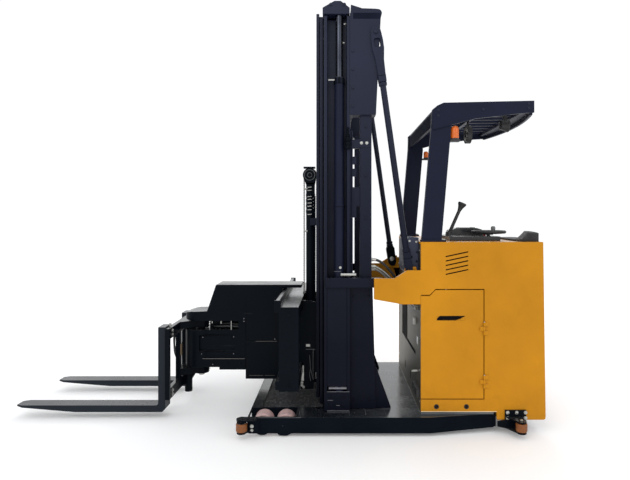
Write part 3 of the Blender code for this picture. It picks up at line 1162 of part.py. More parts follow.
def mast_hose(name, y):
    """Hydraulic hose from the mast support down to the front wall, held at both ends."""
    curve = bpy.data.curves.new(name, "CURVE")
    curve.dimensions = "3D"
    curve.bevel_depth = 0.009
    curve.bevel_resolution = 2
    curve.use_fill_caps = True
    start = Vector((POST_X[1] + SEAT, y - 0.040, 1.200))
    end = Vector((BODY_FRONT - SEAT, y, 0.960))
    # A straight stub at both fittings, and one smooth curve between the stubs
    stub = Vector((0.014, 0, 0))
    lean = Vector((0.120, 0, 0))
    near, far = start + stub, end - stub
    route = [start]
    for step in range(HOSE_STEPS + 1):
        t = step / HOSE_STEPS
        route.append(near * (1 - t) ** 3 + (near + lean) * 3 * t * (1 - t) ** 2
                     + (far - lean) * 3 * t * t * (1 - t) + far * t ** 3)
    route.append(end)
    spline = curve.splines.new("POLY")
    spline.points.add(len(route) - 1)
    for slot, point in zip(spline.points, route):
        slot.co = (*point, 1)
    made = bpy.data.objects.new(name, curve)
    bpy.context.scene.collection.objects.link(made)
    made.parent = TRUCK
    curve.materials.append(finish("trim_black"))
    return made


def drive_turret():
    """Steered drive: bearing disc, motor above it and the cheek that holds the wheel."""
    origin = (DRIVE_X, DRIVE_Y, 0)
    deck_low = REAR_DECK_TOP - DECK_PLATE
    neck = TURRET_RADIUS - RUN
    flange = TURRET_RADIUS + 0.028
    motor = neck - 0.012
    profile = [(0, deck_low - 0.020), (flange, deck_low - 0.020), (flange, deck_low - SEAT),
               (neck, deck_low - SEAT), (neck, REAR_DECK_TOP + 0.010), (motor, REAR_DECK_TOP + 0.020),
               (motor, MOTOR_TOP), (motor - 0.018, MOTOR_TOP + 0.020), (0, MOTOR_TOP + 0.020)]
    inner = DRIVE_WIDTH / 2 + 0.008
    cheek = [(-0.060, deck_low - 0.016), (-0.050, DRIVE_RADIUS)]
    cheek += arc((0, DRIVE_RADIUS), 0.050, 180, 360, 10)
    cheek += [(0.060, deck_low - 0.016)]
    cheek = [(DRIVE_X + u, v) for u, v in cheek]
    solids = [turned(profile, origin, "Z", 36)]
    solids.append(prism("Y", cheek, DRIVE_Y + inner, DRIVE_Y + inner + 0.024))
    solids.append(bar((DRIVE_X, DRIVE_Y - DRIVE_WIDTH / 2 + 0.004, DRIVE_RADIUS),
                      (DRIVE_X, DRIVE_Y + inner + 0.004, DRIVE_RADIUS), DRIVE_AXLE, 20))
    return part("drive_turret", "cylinder_black", solids, origin=origin)


def drive_wheel():
    """Polyurethane drive wheel with a dished steel hub."""
    origin = (DRIVE_X, DRIVE_Y, DRIVE_RADIUS)
    bore = DRIVE_AXLE + RUN
    half = DRIVE_WIDTH / 2
    profile = [(bore, -half + 0.006), (0.045, -half + 0.006), (0.050, -half + 0.016), (0.085, -half + 0.016),
               (0.092, -half), (DRIVE_RADIUS - 0.006, -half), (DRIVE_RADIUS, -half + 0.008),
               (DRIVE_RADIUS, half - 0.008), (DRIVE_RADIUS - 0.006, half), (bore, half)]
    return part("drive_wheel", "tread_beige", [turned(profile, origin, "Y", 32)], origin=origin,
                round_angle=35)


def caster_fork():
    """Swivelling fork of the balance caster under the operator's floor."""
    origin = (CASTER_X, CASTER_Y, 0)
    deck_low = REAR_DECK_TOP - DECK_PLATE
    plate_low = 2 * CASTER_RADIUS + 0.020
    inner = CASTER_WIDTH / 2 + 0.006
    wheel_x = CASTER_X + CASTER_TRAIL
    profile = [(0, plate_low + 0.008), (0.052, plate_low + 0.008), (0.052, deck_low - SEAT),
               (STEM_RADIUS, deck_low - SEAT), (STEM_RADIUS, REAR_DECK_TOP - 0.002),
               (0, REAR_DECK_TOP - 0.002)]
    solids = [turned(profile, origin, "Z", 28)]
    crown_half = inner + 0.008
    solids.append(block((CASTER_X - 0.040, wheel_x + 0.030), (CASTER_Y - crown_half, CASTER_Y + crown_half),
                        (plate_low, plate_low + 0.010)))
    for name, sign in SIDES:
        outline = [(CASTER_X - 0.040, plate_low + 0.004)]
        outline += arc((wheel_x, CASTER_RADIUS), 0.024, 180, 360, 8)
        outline += [(wheel_x + 0.030, plate_low + 0.004)]
        near = sorted((CASTER_Y + sign * inner, CASTER_Y + sign * (inner + 0.008)))
        solids.append(prism("Y", outline, near[0], near[1]))
    solids.append(bar((wheel_x, CASTER_Y - inner - 0.004, CASTER_RADIUS),
                      (wheel_x, CASTER_Y + inner + 0.004, CASTER_RADIUS), CASTER_AXLE, 16))
    return part("caster_fork", "cylinder_black", solids, origin=origin)


def caster_wheel():
    """Small polyurethane balance wheel."""
    origin = (CASTER_X + CASTER_TRAIL, CASTER_Y, CASTER_RADIUS)
    bore = CASTER_AXLE + RUN
    half = CASTER_WIDTH / 2
    profile = [(bore, -half), (CASTER_RADIUS - 0.008, -half), (CASTER_RADIUS, -half + 0.010),
               (CASTER_RADIUS, half - 0.010), (CASTER_RADIUS - 0.008, half), (bore, half)]
    return part("caster_wheel", "tread_beige", [turned(profile, origin, "Y", 28)], origin=origin,
                round_angle=35)


base_frame()
mast_outer()
mast_middle()
mast_inner()
free_lift_barrel()
free_lift_head()
chain_front()
carriage()
head_box()
head_hood()
head_arm()
fork_carrier()
body_front()
body_shell()
operator_floor()
battery()
pump_cover()
guard_roof()
guard_fan()
work_lamp()
console()
steering_wheel()
rear_pad()
drive_turret()
drive_wheel()
caster_fork()
caster_wheel()
for lamp in INDICATORS:
    indicator(*lamp)
for hose in HOSES:
    mast_hose(*hose)
for word, way in SIDES:
    lift_barrel(f"lift_barrel_{word}", way)
    lift_rod(f"lift_rod_{word}", way)
    fork(f"fork_{word}", way)
    body_side(f"body_side_{word}", way)
    battery_door(f"battery_door_{word}", way)
    stay_rod(f"stay_{word}", way)
    guard_side(f"guard_side_{word}", way)
    rear_guide_bracket(f"guide_bracket_{word}", way)
    guide_roller(f"guide_roller_front_{word}", way, GUIDE_FRONT_X)
    guide_roller(f"guide_roller_rear_{word}", way, GUIDE_REAR_X)
    for place, axle_x in zip(("front", "rear"), LOAD_X):
        load_wheel(f"load_wheel_{place}_{word}", way, axle_x)
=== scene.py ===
"""Finishes, fittings and stage for a stand-on very narrow aisle reach truck.

Each operator dresses one group of the truck's pieces. The solids of the frame keep
their places; a dressed copy has eased edges and its own finish, and small fittings are
set on the faces that carry them. Metres, +Z up, forks along -X, left side at -Y.
"""
import json
import math

import bmesh
import bpy
from bpy.props import FloatProperty, FloatVectorProperty, IntProperty, PointerProperty
from mathutils import Matrix, Vector

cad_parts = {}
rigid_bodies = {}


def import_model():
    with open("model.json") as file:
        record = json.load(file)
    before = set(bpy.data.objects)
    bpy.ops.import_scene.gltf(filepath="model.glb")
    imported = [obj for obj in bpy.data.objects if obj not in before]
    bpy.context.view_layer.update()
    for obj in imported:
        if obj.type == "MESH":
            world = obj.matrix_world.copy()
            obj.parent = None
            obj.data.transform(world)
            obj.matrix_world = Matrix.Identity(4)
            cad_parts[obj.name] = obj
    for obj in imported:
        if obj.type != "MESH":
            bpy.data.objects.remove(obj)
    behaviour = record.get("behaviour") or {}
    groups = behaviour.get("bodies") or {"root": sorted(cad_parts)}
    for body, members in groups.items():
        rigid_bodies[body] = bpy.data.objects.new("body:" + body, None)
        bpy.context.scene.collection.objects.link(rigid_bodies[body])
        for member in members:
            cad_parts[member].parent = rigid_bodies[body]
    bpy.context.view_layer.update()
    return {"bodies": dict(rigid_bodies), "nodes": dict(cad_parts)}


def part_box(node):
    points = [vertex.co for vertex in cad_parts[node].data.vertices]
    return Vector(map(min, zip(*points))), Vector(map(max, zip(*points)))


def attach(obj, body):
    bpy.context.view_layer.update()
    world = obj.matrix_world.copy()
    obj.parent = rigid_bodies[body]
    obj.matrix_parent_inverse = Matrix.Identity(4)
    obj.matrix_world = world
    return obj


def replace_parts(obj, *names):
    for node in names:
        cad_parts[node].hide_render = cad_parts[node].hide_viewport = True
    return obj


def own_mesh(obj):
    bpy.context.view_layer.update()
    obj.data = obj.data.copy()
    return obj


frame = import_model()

bl_info = {
    "name": "Narrow Aisle Reach Truck Finish",
    "version": (1, 0, 0),
    "blender": (4, 5, 0),
    "location": "View3D > Sidebar > Truck",
    "description": "Finishes and fittings for a stand-on narrow aisle reach truck",
    "category": "Object",
}

NODES = frame["nodes"]
BOTH = (-1, 1)
SIDES = (("left", -1), ("right", 1))

# Sizes that several groups share, X measured at the mast datum
DATUM = 0.462               # X of the mast datum
DECK_TOP = 0.132
BODY_SIDE = 0.625           # outer face of the body from the middle
BODY_TOP = 1.3333
FRONT_WALL = 0.599
BARREL = (0.030, 0.530)     # upright axis of a lift cylinder
STAY_PINS = ((0.288, 2.811), (0.524, 1.125))
STEERED = (1.260, -0.300)   # upright axis of the steered drive

# The photograph's camera: its distance, its height, its focal length and the picture in pixels
CAMERA_AWAY, CAMERA_HIGH = 4.235, 1.5
FOCAL, PICTURE = 518, 630
SHIFT_X, SHIFT_Y = -20, -22


def colour_property(name, words, default):
    """A colour that a user can change in the sidebar."""
    return FloatVectorProperty(name=name, description=words, default=default, subtype="COLOR",
                               size=3, min=0, max=1)


class TruckFinish(bpy.types.PropertyGroup):
    """Paint and material colours of the truck."""
    orange: colour_property("Body orange", "Paint of the body and its doors", (0.520, 0.215, 0.005))
    navy: colour_property("Mast navy", "Paint of the mast and the guard", (0.0110, 0.0140, 0.0330))
    black: colour_property("Head black", "Paint of the head and the carriage", (0.0024, 0.0042, 0.0070))
    deck: colour_property("Deck grey", "Paint of the chassis", (0.0035, 0.0055, 0.0090))
    cover: colour_property("Cover grey", "Paint of the pump cover", (0.040, 0.047, 0.080))
    tread: colour_property("Tread beige", "Cast tread of the wheels", (0.50, 0.34, 0.33))
    roller: colour_property("Roller orange", "Cast tread of the guide rollers", (0.27, 0.080, 0.010))
    amber: colour_property("Amber lens", "Lens of the indicator lamps", (0.74, 0.150, 0.010))


class TruckSizes(bpy.types.PropertyGroup):
    """Sizes of the fittings and of the eased edges."""
    edge: FloatProperty(name="Eased edge", description="Radius on the edges of plates",
                        default=0.0022, min=0.0005, max=0.01, unit="LENGTH")
    bolt: FloatProperty(name="Bolt head", description="Half width of a common bolt head",
                        default=0.0085, min=0.003, max=0.03, unit="LENGTH")
    pitch: FloatProperty(name="Chain pitch", description="Distance between the chain's pins",
                         default=0.0190, min=0.008, max=0.05, unit="LENGTH")
    segments: IntProperty(name="Edge segments", description="Facets across an eased edge",
                          default=2, min=1, max=4)


def paint():
    """The colours in use."""
    return bpy.context.scene.truck_finish


def sizes():
    """The sizes in use."""
    return bpy.context.scene.truck_sizes


# Materials

class Finish:
    """A material with object coordinates and a Principled BSDF to build on."""

    def __init__(self, name):
        self.material = bpy.data.materials.new(name)
        self.material.use_nodes = True
        self.tree = self.material.node_tree
        self.shader = self.tree.nodes["Principled BSDF"]
        self.place = self.tree.nodes.new("ShaderNodeTexCoord").outputs["Object"]

    def node(self, kind, **values):
        """A new node, with its inputs set by name."""
        made = self.tree.nodes.new(kind)
        for key, value in values.items():
            made.inputs[key.title()].default_value = value
        return made

    def link(self, source, target):
        self.tree.links.new(source, target)

    def put(self, **values):
        """Inputs of the shader, set by name."""
        for key, value in values.items():
            self.shader.inputs[key.replace("_", " ")].default_value = value

    def stretch(self, scale, turn=(0, 0, 0)):
        """Object coordinates, scaled and turned."""
        mapping = self.node("ShaderNodeMapping", scale=scale, rotation=turn)
        self.link(self.place, mapping.inputs["Vector"])
        return mapping.outputs["Vector"]

    def noise(self, scale, detail=4.0, rough=0.55, vector=None):
        """Values of a noise over the piece."""
        made = self.node("ShaderNodeTexNoise", scale=scale, detail=detail, roughness=rough)
        self.link(vector or self.place, made.inputs["Vector"])
        return made.outputs["Fac"]

    def ramp(self, value, low, high, start=0.0, end=1.0):
        """A value brought from one range to another, held at its ends."""
        made = self.tree.nodes.new("ShaderNodeMapRange")
        for label, bound in zip(("From Min", "From Max", "To Min", "To Max"), (low, high, start, end)):
            made.inputs[label].default_value = bound
        self.link(value, made.inputs["Value"])
        return made.outputs["Result"]

    def blend(self, factor, first, second, kind="MIX"):
        """Two colours mixed by a value; each is a colour or a socket."""
        made = self.tree.nodes.new("ShaderNodeMix")
        made.data_type = "RGBA"
        made.blend_type = kind
        sockets = {"Factor": made.inputs[0], "A": made.inputs[6], "B": made.inputs[7]}
        for key, value in (("Factor", factor), ("A", first), ("B", second)):
            if isinstance(value, bpy.types.NodeSocket):
                self.link(value, sockets[key])
            elif key == "Factor":
                sockets[key].default_value = value
            else:
                sockets[key].default_value = (*value, 1)
        return made.outputs[2]

    def times(self, first, second, operation="MULTIPLY"):
        """Two values joined by a sum or a product."""
        made = self.tree.nodes.new("ShaderNodeMath")
        made.operation = operation
        for slot, value in zip(made.inputs, (first, second)):
            if isinstance(value, bpy.types.NodeSocket):
                self.link(value, slot)
            else:
                slot.default_value = value
        return made.outputs[0]

    def axis(self, letter, vector=None):
        """One part of a vector, and without one the place along that axis."""
        split = self.tree.nodes.new("ShaderNodeSeparateXYZ")
        self.link(vector or self.place, split.inputs[0])
        return split.outputs[letter]

    def upward(self):
        """How far a face looks up, from 0 to 1."""
        facing = self.tree.nodes.new("ShaderNodeNewGeometry").outputs["Normal"]
        return self.ramp(self.axis("Z", facing), 0.6, 0.98)

    def wave(self, scale, way):
        """Straight waves across one axis."""
        made = self.node("ShaderNodeTexWave", scale=scale)
        made.bands_direction = way
        self.link(self.place, made.inputs["Vector"])
        return made.outputs["Fac"]

    def bump(self, *layers):
        """Stacked bumps; each layer is a value, its distance and its strength."""
        last = None
        for value, distance, strength in layers:
            made = self.tree.nodes.new("ShaderNodeBump")
            made.inputs["Distance"].default_value = distance
            made.inputs["Strength"].default_value = strength
            self.link(value, made.inputs["Height"])
            if last:
                self.link(last, made.inputs["Normal"])
            last = made.outputs["Normal"]
        self.link(last, self.shader.inputs["Normal"])

    def colour(self, value):
        self.link(value, self.shader.inputs["Base Color"])

    def rough(self, value):
        self.link(value, self.shader.inputs["Roughness"])


def shade(colour, factor):
    """A colour made lighter or darker."""
    return tuple(min(1.0, channel * factor) for channel in colour)


def paint_finish(name, colour, rough=(0.30, 0.46), dust=0.10, grime_and_shade=0.35, scuffs=0.5,
                 gloss_level=0.20, painted_low_shade=0.0, top_gloss=0.5):
    """Factory paint: soft mottling, thin scuffs, dust on flat tops, grime with painted shade near the
    floor, and where asked a painted shade darkening the lower part.
    """
    made = Finish(name)
    colour = tuple(colour)
    mottle = made.ramp(made.noise(1.6, 6.0, 0.6), 0.32, 0.68)
    base = made.blend(mottle, shade(colour, 0.86), shade(colour, 1.12))
    patch = made.ramp(made.noise(9.0, 5.0, 0.65), 0.58, 0.74, 0.0, 0.35)
    base = made.blend(patch, base, shade(colour, 0.78))
    streak = made.noise(1.0, 3.0, 0.5, made.stretch((3.0, 3.0, 140.0), (0.0, 0.35, 0.0)))
    line = made.ramp(streak, 0.70, 0.735)
    wear = made.times(line, made.ramp(made.noise(2.6, 3.0), 0.50, 0.66, 0.0, scuffs))
    pale = tuple(0.75 * channel + 0.13 for channel in colour)
    base = made.blend(wear, base, pale)
    dusty = made.times(made.upward(), made.ramp(made.noise(14.0, 6.0, 0.7), 0.30, 0.75, 0.3 * dust,
                                                dust))
    base = made.blend(dusty, base, (0.42, 0.40, 0.37))
    # Grime and painted shade: darker smears near the floor
    low = made.ramp(made.axis("Z"), 0.02, 0.40, grime_and_shade, 0.0)
    grime_and_shade_smear = made.times(low, made.ramp(made.noise(22.0, 6.0, 0.7), 0.35, 0.65))
    base = made.blend(grime_and_shade_smear, base, shade(colour, 0.45))
    # Painted shade: where asked, the paint darkens towards the floor for the dark reflection low on the
    # part, and its gloss drops there too
    base = made.blend(made.ramp(made.axis("Z"), 0.6, 2.6, painted_low_shade, 0.0), base, shade(colour, 0.16))
    made.colour(base)
    gloss = made.ramp(made.noise(5.0, 5.0, 0.6), 0.30, 0.70, rough[0], rough[1])
    polish = made.ramp(made.upward(), 0.0, 1.0, 0.0, -0.16)
    made.rough(made.times(gloss, polish, "ADD"))
    level = made.ramp(made.upward(), 0.0, 1.0, gloss_level, top_gloss)
    if painted_low_shade:
        level = made.times(level, made.ramp(made.axis("Z"), 0.6, 2.4, 0.35, 1.0))
    made.link(level, made.shader.inputs["Specular IOR Level"])
    made.bump((made.noise(420.0, 2.0), 0.0004, 0.10), (made.noise(7.0, 3.0), 0.004, 0.05),
              (line, 0.0003, 0.12))
    return made.material


def deck_finish(name, colour):
    """Near-black chassis paint; the trodden top is glossier and scratched, with a painted sheen in
    rubbed patches that grows towards the rear.
    """
    made = Finish(name)
    colour = tuple(colour)
    tone = made.ramp(made.noise(3.0, 6.0, 0.65), 0.30, 0.70)
    base = made.blend(tone, shade(colour, 0.74), shade(colour, 1.30))
    top = made.upward()
    # Painted sheen: rubbed patches on the top are lightened, more so behind the mast
    rub = made.noise(1.0, 6.0, 0.6, made.stretch((2.2, 7.0, 2.0)))
    rubbed_top_sheen = made.times(top, made.ramp(rub, 0.44, 0.66, 0.25, 0.80))
    rubbed_top_sheen = made.times(rubbed_top_sheen, made.ramp(made.axis("X"), d(0.02), d(0.36), 0.10, 1.0))
    base = made.blend(rubbed_top_sheen, base, (0.115, 0.122, 0.130))
    streak = made.noise(1.0, 4.0, 0.6, made.stretch((120.0, 4.0, 4.0), (0.0, 0.0, 0.5)))
    line = made.times(top, made.ramp(streak, 0.66, 0.70, 0.0, 0.6))
    base = made.blend(line, base, (0.30, 0.31, 0.32))
    speck = made.ramp(made.noise(60.0, 4.0, 0.7), 0.60, 0.70, 0.0, 0.5)
    base = made.blend(speck, base, shade(colour, 0.5))
    made.colour(base)
    made.rough(made.times(made.ramp(made.noise(11.0, 5.0), 0.30, 0.70, 0.30, 0.46),
                          made.times(top, -0.16), "ADD"))
    made.link(made.ramp(top, 0.0, 1.0, 0.02, 0.9), made.shader.inputs["Specular IOR Level"])
    made.bump((made.noise(260.0, 3.0), 0.0004, 0.12), (line, 0.0003, 0.2))
    return made.material


def grit_finish(name):
    """Anti-slip tread: dark grit with pale stones and a worn lane."""
    made = Finish(name)
    cells = made.node("ShaderNodeTexVoronoi", scale=125.0)
    made.link(made.place, cells.inputs["Vector"])
    stone = made.ramp(cells.outputs["Distance"], 0.20, 0.42, 1.0, 0.0)
    pick = made.ramp(made.noise(70.0, 2.0), 0.48, 0.56)
    base = made.blend(made.times(stone, pick), (0.012, 0.012, 0.014), (0.36, 0.36, 0.35))
    base = made.blend(made.ramp(made.noise(3.0, 5.0), 0.45, 0.70, 0.0, 0.40), base,
                      (0.052, 0.054, 0.062))
    made.colour(base)
    made.rough(made.ramp(made.noise(40.0, 3.0), 0.30, 0.70, 0.65, 0.92))
    made.bump((stone, 0.0012, 0.55))
    return made.material


def steel_finish(name, tint=(0.52, 0.52, 0.53), rough=(0.26, 0.42), along=(2.0, 90.0, 90.0)):
    """Brushed or turned steel with fine lines and faint stains."""
    made = Finish(name)
    lines = made.noise(3.0, 4.0, 0.6, made.stretch(along))
    stain = made.ramp(made.noise(6.0, 5.0, 0.65), 0.48, 0.72, 0.0, 0.4)
    base = made.blend(made.ramp(lines, 0.3, 0.7), shade(tint, 0.86), shade(tint, 1.10))
    base = made.blend(stain, base, shade(tint, 0.55))
    made.colour(base)
    made.rough(made.ramp(lines, 0.30, 0.70, rough[0], rough[1]))
    made.put(Metallic=1.0)
    made.bump((lines, 0.0002, 0.12))
    return made.material


def rod_dark_reflection_finish(name):
    """Hydraulic rod with a painted reflection: a dark blue-grey colour stands for the chrome mirroring
    dark surroundings; smooth, with an oil film.
    """
    made = Finish(name)
    film = made.ramp(made.noise(7.0, 4.0), 0.40, 0.70)
    made.colour(made.blend(film, (0.060, 0.066, 0.085), (0.038, 0.042, 0.055)))
    made.rough(made.ramp(film, 0.0, 1.0, 0.20, 0.34))
    made.put(Metallic=1.0)
    made.bump((made.noise(500.0, 2.0), 0.0001, 0.05))
    return made.material


def cast_finish(name, colour, dirt=(0.20, 0.15, 0.12), rough=(0.42, 0.62), glow=0.06):
    """Cast polyurethane: milky, scuffed round the tread, dirty in the dish."""
    made = Finish(name)
    colour = tuple(colour)
    tone = made.ramp(made.noise(30.0, 5.0, 0.6), 0.35, 0.65)
    base = made.blend(tone, shade(colour, 0.86), shade(colour, 1.08))
    soil = made.ramp(made.noise(46.0, 5.0, 0.7), 0.50, 0.68, 0.0, 0.55)
    base = made.blend(soil, base, dirt)
    made.colour(base)
    made.rough(made.ramp(made.noise(60.0, 4.0), 0.30, 0.70, rough[0], rough[1]))
    made.put(Subsurface_Weight=glow, Subsurface_Radius=(0.006, 0.004, 0.003))
    made.bump((made.noise(300.0, 3.0), 0.0004, 0.15))
    return made.material


def plastic_finish(name, colour, rough=(0.48, 0.66), grain=520.0, depth=0.0005, level=0.5):
    """Moulded plastic or rubber with a fine grain and rubbed patches."""
    made = Finish(name)
    colour = tuple(colour)
    tone = made.ramp(made.noise(6.0, 5.0), 0.32, 0.70)
    base = made.blend(tone, shade(colour, 0.80), shade(colour, 1.25))
    dusty = made.times(made.upward(), made.ramp(made.noise(20.0, 5.0), 0.35, 0.70, 0.02, 0.10))
    base = made.blend(dusty, base, (0.35, 0.34, 0.32))
    made.colour(base)
    made.rough(made.ramp(made.noise(15.0, 4.0), 0.30, 0.70, rough[0], rough[1]))
    made.put(Specular_IOR_Level=level)
    made.bump((made.noise(grain, 2.0), depth, 0.35))
    return made.material


def lens_finish(name, colour, glow=0.25):
    """Ribbed signal lens, lit a little from inside."""
    made = Finish(name)
    colour = tuple(colour)
    ribs = made.wave(60.0, "Z")
    made.colour(made.blend(ribs, shade(colour, 0.85), colour))
    made.rough(made.ramp(made.noise(40.0, 3.0), 0.30, 0.70, 0.12, 0.26))
    made.put(Transmission_Weight=0.25, Emission_Color=(*colour, 1), Emission_Strength=glow)
    made.bump((ribs, 0.0006, 0.5))
    return made.material


def weave_finish(name, colour):
    """Coated seat cloth with a fine weave."""
    made = Finish(name)
    colour = tuple(colour)
    cross = made.times(made.wave(170.0, "X"), made.wave(170.0, "Y"))
    base = made.blend(cross, shade(colour, 0.75), shade(colour, 1.35))
    base = made.blend(made.ramp(made.noise(9.0, 5.0), 0.45, 0.70, 0.0, 0.35), base, shade(colour, 1.8))
    made.colour(base)
    made.rough(made.ramp(made.noise(22.0, 4.0), 0.3, 0.7, 0.62, 0.80))
    made.put(Sheen_Weight=0.15)
    made.bump((cross, 0.0005, 0.35), (made.noise(24.0, 4.0), 0.004, 0.18))
    return made.material


LOOKS = {}


def look(key):
    """The finish of that name, made when it is first asked for."""
    if key not in LOOKS:
        LOOKS[key] = RECIPES[key]()
    return LOOKS[key]


RECIPES = {
    "orange": lambda: paint_finish("Orange body paint", shade(paint().orange, 0.97), (0.34, 0.46),
                                   0.05, 0.30, 0.25, 0.15, top_gloss=1.0),
    # The mast paint carries a painted shade that darkens its lower part
    "navy": lambda: paint_finish("Navy mast paint", paint().navy, (0.34, 0.50), 0.08, 0.30, 0.30,
                                 painted_low_shade=0.8),
    "black": lambda: paint_finish("Blue-black head paint", paint().black, (0.32, 0.46), 0.05, 0.20,
                                  0.22, 0.05, top_gloss=0.9),
    "cover": lambda: paint_finish("Pump cover paint", paint().cover, (0.36, 0.52), 0.06, 0.0, 0.30),
    "fork": lambda: paint_finish("Worn fork paint", shade(paint().black, 2.4), (0.34, 0.50), 0.10,
                                 0.1, 0.8),
    "deck": lambda: deck_finish("Deck paint", paint().deck),
    "grit": lambda: grit_finish("Anti-slip grit"),
    "steel": lambda: steel_finish("Front wall sheet", (0.170, 0.158, 0.128), (0.44, 0.58)),
    "zinc": lambda: steel_finish("Zinc plated steel", (0.50, 0.50, 0.47), (0.30, 0.48), (40, 40, 40)),
    "dull": lambda: steel_finish("Dull zinc", (0.20, 0.20, 0.22), (0.34, 0.50), (40, 40, 40)),
    "dark_steel": lambda: steel_finish("Oiled chain steel", (0.17, 0.16, 0.15), (0.30, 0.50),
                                       (60, 60, 60)),
    "rod": lambda: rod_dark_reflection_finish("Painted_dark_reflection rod"),
    "braid": lambda: steel_finish("Braided steel line", (0.34, 0.34, 0.33), (0.32, 0.50),
                                  (160, 160, 160)),
    "tread": lambda: cast_finish("Beige cast tread", shade(paint().tread, 1.2)),
    "roller": lambda: cast_finish("Orange cast tread", shade(paint().roller, 0.82), (0.10, 0.05, 0.02)),
    "plastic": lambda: plastic_finish("Grained black plastic", (0.018, 0.018, 0.020)),
    "hose": lambda: plastic_finish("Hydraulic hose rubber", (0.014, 0.014, 0.015), (0.42, 0.58), 300.0),
    "mat": lambda: plastic_finish("Floor mat rubber", (0.020, 0.020, 0.021), (0.66, 0.85), 260.0,
                                  0.0009),
    "grey": lambda: plastic_finish("Grey plastic", (0.10, 0.105, 0.11), (0.42, 0.58)),
    "void": lambda: plastic_finish("Dark cavity", (0.0025, 0.0025, 0.0035), (0.75, 0.92), level=0.1),
    "brass": lambda: steel_finish("Dull bronze", (0.20, 0.15, 0.10), (0.36, 0.52), (60, 60, 60)),
    "strip": lambda: plastic_finish("Polished front strip", (0.010, 0.012, 0.014), (0.12, 0.24), 500.0,
                                    0.0002, 1.0),
    "matte": lambda: plastic_finish("Matte navy mesh", (0.008, 0.010, 0.020), (0.90, 0.98), level=0.05),
    "gloss": lambda: plastic_finish("Glossy console shell", (0.016, 0.016, 0.018), (0.14, 0.28), 700.0,
                                    0.0001),
    "guard": lambda: paint_finish("Navy guard paint", shade(paint().navy, 0.78), (0.36, 0.52), 0.06,
                                  0.30, 0.30, 0.10, top_gloss=0.30),
    # Painted highlight: a pale cream line for light caught on the body's lower edge
    "painted_highlight": lambda: paint_finish("Bright lower edge", (0.82, 0.62, 0.34), (0.30, 0.42), 0.05, 0.1, 0.1),
    "amber": lambda: lens_finish("Amber lens", paint().amber, 0.06),
    # Painted light: the stop button glows a little, though it holds no lamp
    "red": lambda: lens_finish("Red stop button", (0.60, 0.02, 0.015), 0.02),
    "clear": lambda: lens_finish("Lamp glass", (0.80, 0.82, 0.84), 0.15),
    "screen": lambda: plastic_finish("Dark display glass", (0.010, 0.016, 0.020), (0.06, 0.14), 900.0,
                                     0.0001),
    "vinyl": lambda: weave_finish("Padded rest cover", (0.010, 0.010, 0.011)),
    "cable": lambda: plastic_finish("Cable sheath", (0.016, 0.016, 0.017), (0.45, 0.60), 400.0, 0.0002),
    "plate": lambda: plastic_finish("Blank data plate", (0.52, 0.53, 0.52), (0.30, 0.44), 700.0, 0.0001),
}

# Solids, each a bmesh in place

def d(x):
    """X in the frame from an X measured at the mast datum."""
    return x + DATUM


def prism(axis, outline, low, high):
    """A closed prism: the outline lies across the axis and runs from low to high."""
    place = {"X": lambda u, v, w: (w, u, v), "Y": lambda u, v, w: (u, w, v),
             "Z": lambda u, v, w: (u, v, w)}[axis]
    bm = bmesh.new()
    ends = [[bm.verts.new(place(u, v, w)) for u, v in outline] for w in (low, high)]
    bm.faces.new(ends[0])
    bm.faces.new(ends[1])
    for step in range(len(outline)):
        after = (step + 1) % len(outline)
        bm.faces.new((ends[0][step], ends[0][after], ends[1][after], ends[1][step]))
    bmesh.ops.recalc_face_normals(bm, faces=bm.faces)
    return bm


def block(x, y, z):
    """A box from three (low, high) pairs."""
    return prism("Z", [(x[0], y[0]), (x[1], y[0]), (x[1], y[1]), (x[0], y[1])], *sorted(z))


def slab(x, y, z):
    """A box whose X pair is measured at the mast datum."""
    return block((d(x[0]), d(x[1])), y, z)


def side(sign, low, high):
    """The (low, high) pair across the truck for one side."""
    return (low, high) if sign > 0 else (-high, -low)


def along(way):
    """A turn that brings +Z to a direction."""
    return Vector(way).to_track_quat("Z", "Y").to_matrix().to_4x4()


def lathe(profile, centre, way=(0, 0, 1), sides=48):
    """A turned solid from (radius, height) pairs, closed at both ends or in a loop."""
    matrix = Matrix.Translation(centre) @ along(way)
    bm = bmesh.new()
    rings = []
    for radius, height in profile:
        if radius == 0:
            rings.append([bm.verts.new(matrix @ Vector((0, 0, height)))])
            continue
        rings.append([bm.verts.new(matrix @ Vector((radius * math.cos(math.tau * step / sides),
                                                    radius * math.sin(math.tau * step / sides), height)))
                      for step in range(sides)])
    pairs = list(zip(rings, rings[1:]))
    if profile[0][0] > 0:
        pairs.append((rings[-1], rings[0]))
    for lower, upper in pairs:
        for step in range(sides):
            corners = [lower[step % len(lower)], lower[(step + 1) % len(lower)],
                       upper[(step + 1) % len(upper)], upper[step % len(upper)]]
            bm.faces.new(list(dict.fromkeys(corners)))
    bmesh.ops.recalc_face_normals(bm, faces=bm.faces)
    return bm


def bar(start, end, radius, sides=24):
    """A round bar between two points."""
    start, end = Vector(start), Vector(end)
    return lathe([(0, 0), (radius, 0), (radius, (end - start).length), (0, (end - start).length)],
                 start, end - start, sides)


def arc(centre, radius, start, end, steps):
    """Points of an arc in degrees, both ends included."""
    angles = [math.radians(start + (end - start) * step / steps) for step in range(steps + 1)]
    return [(centre[0] + radius * math.cos(a), centre[1] + radius * math.sin(a)) for a in angles]


def smooth_route(points, steps=10):
    """Points of a smooth curve through the given points."""
    points = [Vector(point) for point in points]
    ends = [points[0] * 2 - points[1]] + points + [points[-1] * 2 - points[-2]]
    route = []
    for a, b, c, e in zip(ends, ends[1:], ends[2:], ends[3:]):
        for step in range(steps):
            t = step / steps
            route.append(0.5 * (2 * b + (c - a) * t + (2 * a - 5 * b + 4 * c - e) * t * t
                                + (3 * b - a - 3 * c + e) * t ** 3))
    return route + [points[-1]]


